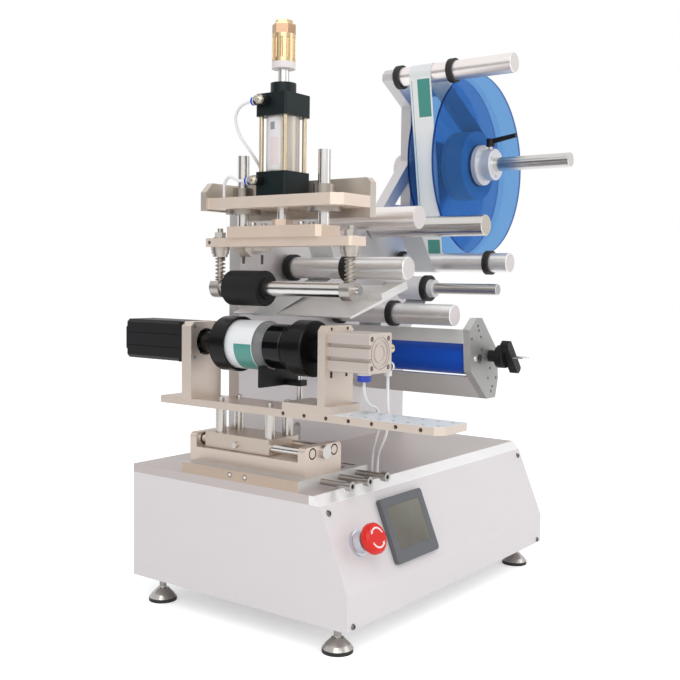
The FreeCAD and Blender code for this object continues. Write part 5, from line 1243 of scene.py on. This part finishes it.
@dataclass
class Studio:
    """Camera, floor, lights and surroundings."""

    eye: Tuple[float, float, float] = (-1.20122, -0.86655, 0.46667)
    azimuth: float = -53.379
    elevation: float = 3.658
    roll: float = 0.757
    focal: float = 972.67
    frame: float = 680.0
    glow: float = 0.38

    def camera(self) -> None:
        """Stands the camera where the photograph was taken."""
        turn, rise, lean = (math.radians(angle) for angle in (self.azimuth, self.elevation, self.roll))
        back = Vector((math.sin(turn) * math.cos(rise), -math.cos(turn) * math.cos(rise), math.sin(rise)))
        right = Vector((math.cos(turn), math.sin(turn), 0.0))
        up = back.cross(right)
        across = right * math.cos(lean) + up * math.sin(lean)
        upward = up * math.cos(lean) - right * math.sin(lean)
        lens = bpy.data.cameras.new("camera")
        lens.sensor_width = 36.0
        lens.lens = self.focal * 36.0 / self.frame
        lens.clip_start = 0.05
        lens.clip_end = 60.0
        eye = bpy.data.objects.new("camera", lens)
        bpy.context.scene.collection.objects.link(eye)
        matrix = Matrix((across, upward, back)).transposed().to_4x4()
        matrix.translation = Vector(self.eye)
        eye.matrix_world = matrix
        bpy.context.scene.camera = eye

    def lamp(self, name: str, place: Vector, aim: Vector, size: float, power: float) -> None:
        """Adds a square soft lamp.

        Args:
            name: Name of the lamp.
            place: Where it stands.
            aim: What it points at.
            size: Side of its square, in metres.
            power: Its power in watts.
        """
        data = bpy.data.lights.new(name, "AREA")
        data.size = size
        data.energy = power
        lamp = bpy.data.objects.new(name, data)
        bpy.context.scene.collection.objects.link(lamp)
        lamp.matrix_world = pointing(place - aim, place)

    def floor(self) -> None:
        """Lays a wide pale floor that keeps the machine's shadow."""
        shape = bmesh.new()
        bmesh.ops.create_circle(shape, cap_ends=True, segments=64, radius=14.0)
        mesh = bpy.data.meshes.new("floor")
        shape.to_mesh(mesh)
        shape.free()
        ground = bpy.data.objects.new("floor", mesh)
        bpy.context.scene.collection.objects.link(ground)
        recipe = Recipe("studio_floor")
        recipe.feed(recipe.shader, "Base Color", (0.93, 0.93, 0.93, 1.0))
        recipe.feed(recipe.shader, "Roughness", 0.9)
        recipe.feed(recipe.shader, "Specular IOR Level", 0.0)
        rays = recipe.node("ShaderNodeLightPath", {}, {})
        seen = Amount(recipe.tree, rays.outputs["Is Camera Ray"])
        gloss = Amount(recipe.tree, rays.outputs["Is Glossy Ray"])
        through = Amount(recipe.tree, rays.outputs["Is Transmission Ray"])
        plain = seen.math("MAXIMUM", seen.math("MAXIMUM", seen, gloss), through)
        glow = self.glow
        recipe.feed(recipe.shader, "Emission Color", recipe.blend(plain, (0.0, 0.0, 0.0), (glow, glow, glow)))
        recipe.feed(recipe.shader, "Emission Strength", 1.0)
        mesh.materials.append(recipe.material)

    def cards(self) -> None:
        """Stands grey cards round the machine, which only bright metal sees."""
        for name, place, size, grey in (
            ("card_left", (-2.6, 2.1, 0.7), (0.10, 2.6, 1.5), 0.10),
            ("card_right", (2.4, -1.9, 0.75), (1.5, 0.10, 1.7), 0.30),
            ("card_over", (-0.9, -0.9, 2.6), (1.3, 1.1, 0.05), 0.10),
        ):
            recipe = Recipe(name)
            recipe.feed(recipe.shader, "Base Color", (grey, grey, grey * 1.05, 1.0))
            recipe.feed(recipe.shader, "Roughness", 1.0)
            shape = bmesh.new()
            bmesh.ops.create_cube(shape, size=1.0)
            bmesh.ops.scale(shape, vec=size, verts=shape.verts)
            bmesh.ops.translate(shape, vec=place, verts=shape.verts)
            mesh = bpy.data.meshes.new(name)
            shape.to_mesh(mesh)
            shape.free()
            card = bpy.data.objects.new(name, mesh)
            bpy.context.scene.collection.objects.link(card)
            mesh.materials.append(recipe.material)
            card.visible_camera = False
            card.visible_diffuse = False
            card.visible_shadow = False
            card.visible_transmission = False

    def surroundings(self) -> None:
        """Sets soft light for the machine and plain white for what the camera and bright metal see."""
        world = bpy.data.worlds.new("studio")
        bpy.context.scene.world = world
        world.use_nodes = True
        tree = world.node_tree
        tree.nodes.clear()
        rays = tree.nodes.new("ShaderNodeLightPath")
        seen = Amount(tree, rays.outputs["Is Camera Ray"])
        gloss = Amount(tree, rays.outputs["Is Glossy Ray"])
        through = Amount(tree, rays.outputs["Is Transmission Ray"])
        plain = seen.math("MAXIMUM", seen.math("MAXIMUM", seen, gloss), through)
        soft = tree.nodes.new("ShaderNodeBackground")
        soft.inputs[0].default_value = (0.96, 0.98, 1.0, 1.0)
        soft.inputs[1].default_value = 0.72
        white = tree.nodes.new("ShaderNodeBackground")
        white.inputs[0].default_value = (1.0, 1.0, 1.0, 1.0)
        white.inputs[1].default_value = 1.0
        mix = tree.nodes.new("ShaderNodeMixShader")
        tree.links.new(plain.socket, mix.inputs[0])
        tree.links.new(soft.outputs[0], mix.inputs[1])
        tree.links.new(white.outputs[0], mix.inputs[2])
        out = tree.nodes.new("ShaderNodeOutputWorld")
        tree.links.new(mix.outputs[0], out.inputs[0])

    def build(self) -> None:
        """Sets up the whole studio."""
        self.camera()
        self.floor()
        self.cards()
        self.surroundings()
        middle = Vector((0.0, 0.0, 0.4))
        self.lamp("key", Vector((-2.2, -1.6, 2.6)), middle, 3.0, 58.0)
        self.lamp("fill", Vector((1.8, -2.4, 1.8)), middle, 2.6, 24.0)
        bpy.context.scene.view_settings.view_transform = "Standard"
        LOG.info("studio")


def screw_sets() -> List[Screws]:
    """Gives every set of screws of the machine."""
    slope = math.radians(67.53678751059286)
    panel = (0.0, -math.sin(slope), math.cos(slope))
    up = (0.0, 0.0, 1.0)
    front = (0.0, -1.0, 0.0)
    posts = [(x, forward, 295.0) for x in (44.0, 81.0) for forward in (129.0, 218.0)]
    flange = [(x, 82.0, z) for x in (40.0, 85.0) for z in (351.5, 396.5)]
    return [
        Screws("post_screws", "carriage", up, posts, 4.6),
        Screws("motor_screws", "carriage", front, flange, 3.0, Head.FLAT),
        Screws("crosshead_screws", "press", up,
               [(x, forward, 534.0) for x in (51.0, 74.0) for forward in (179.0, 262.0)], 4.2),
        Screws("traction_screw", "machine", front, [(359.0, 352.0, 348.0)], 4.4, Head.BUTTON),
        Screws("slope_screws", "machine", panel,
               [(11.9, 342.0, 176.4), (528.1, 342.0, 176.4)], 4.2, Head.BUTTON, Surface.DARK_SCREW),
        Screws("front_screws", "machine", front,
               [(12.7, 381.0, 42.2), (527.3, 381.0, 42.2)], 4.0, Head.BUTTON, Surface.DARK_SCREW),
        Screws("reel_hub_screws", "reel", front,
               [(654.0 + 21.0 * math.cos(math.radians(angle)), 224.0, 674.0 + 21.0 * math.sin(math.radians(angle)))
                for angle in (30, 150, 270)], 2.8, Head.FLAT),
    ]


def main() -> None:
    """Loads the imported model, dresses it and builds what it lacks."""
    logging.basicConfig(level=logging.INFO, format="%(message)s")
    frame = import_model()
    for name, node in frame["nodes"].items():
        if name in AirTubes().routes or name == "presser_springs":
            continue
        dress_node(name, node)
        LOG.info("dressed %s", name)
    Studio().build()
    AirTubes().build()
    PresserSprings().build()
    JarLabel().build()
    Sticker().build()
    WebLabels().build()
    Screen().build()
    StopArrows().build()
    for screws in screw_sets():
        screws.build()


if __name__ == "__main__":
    main()
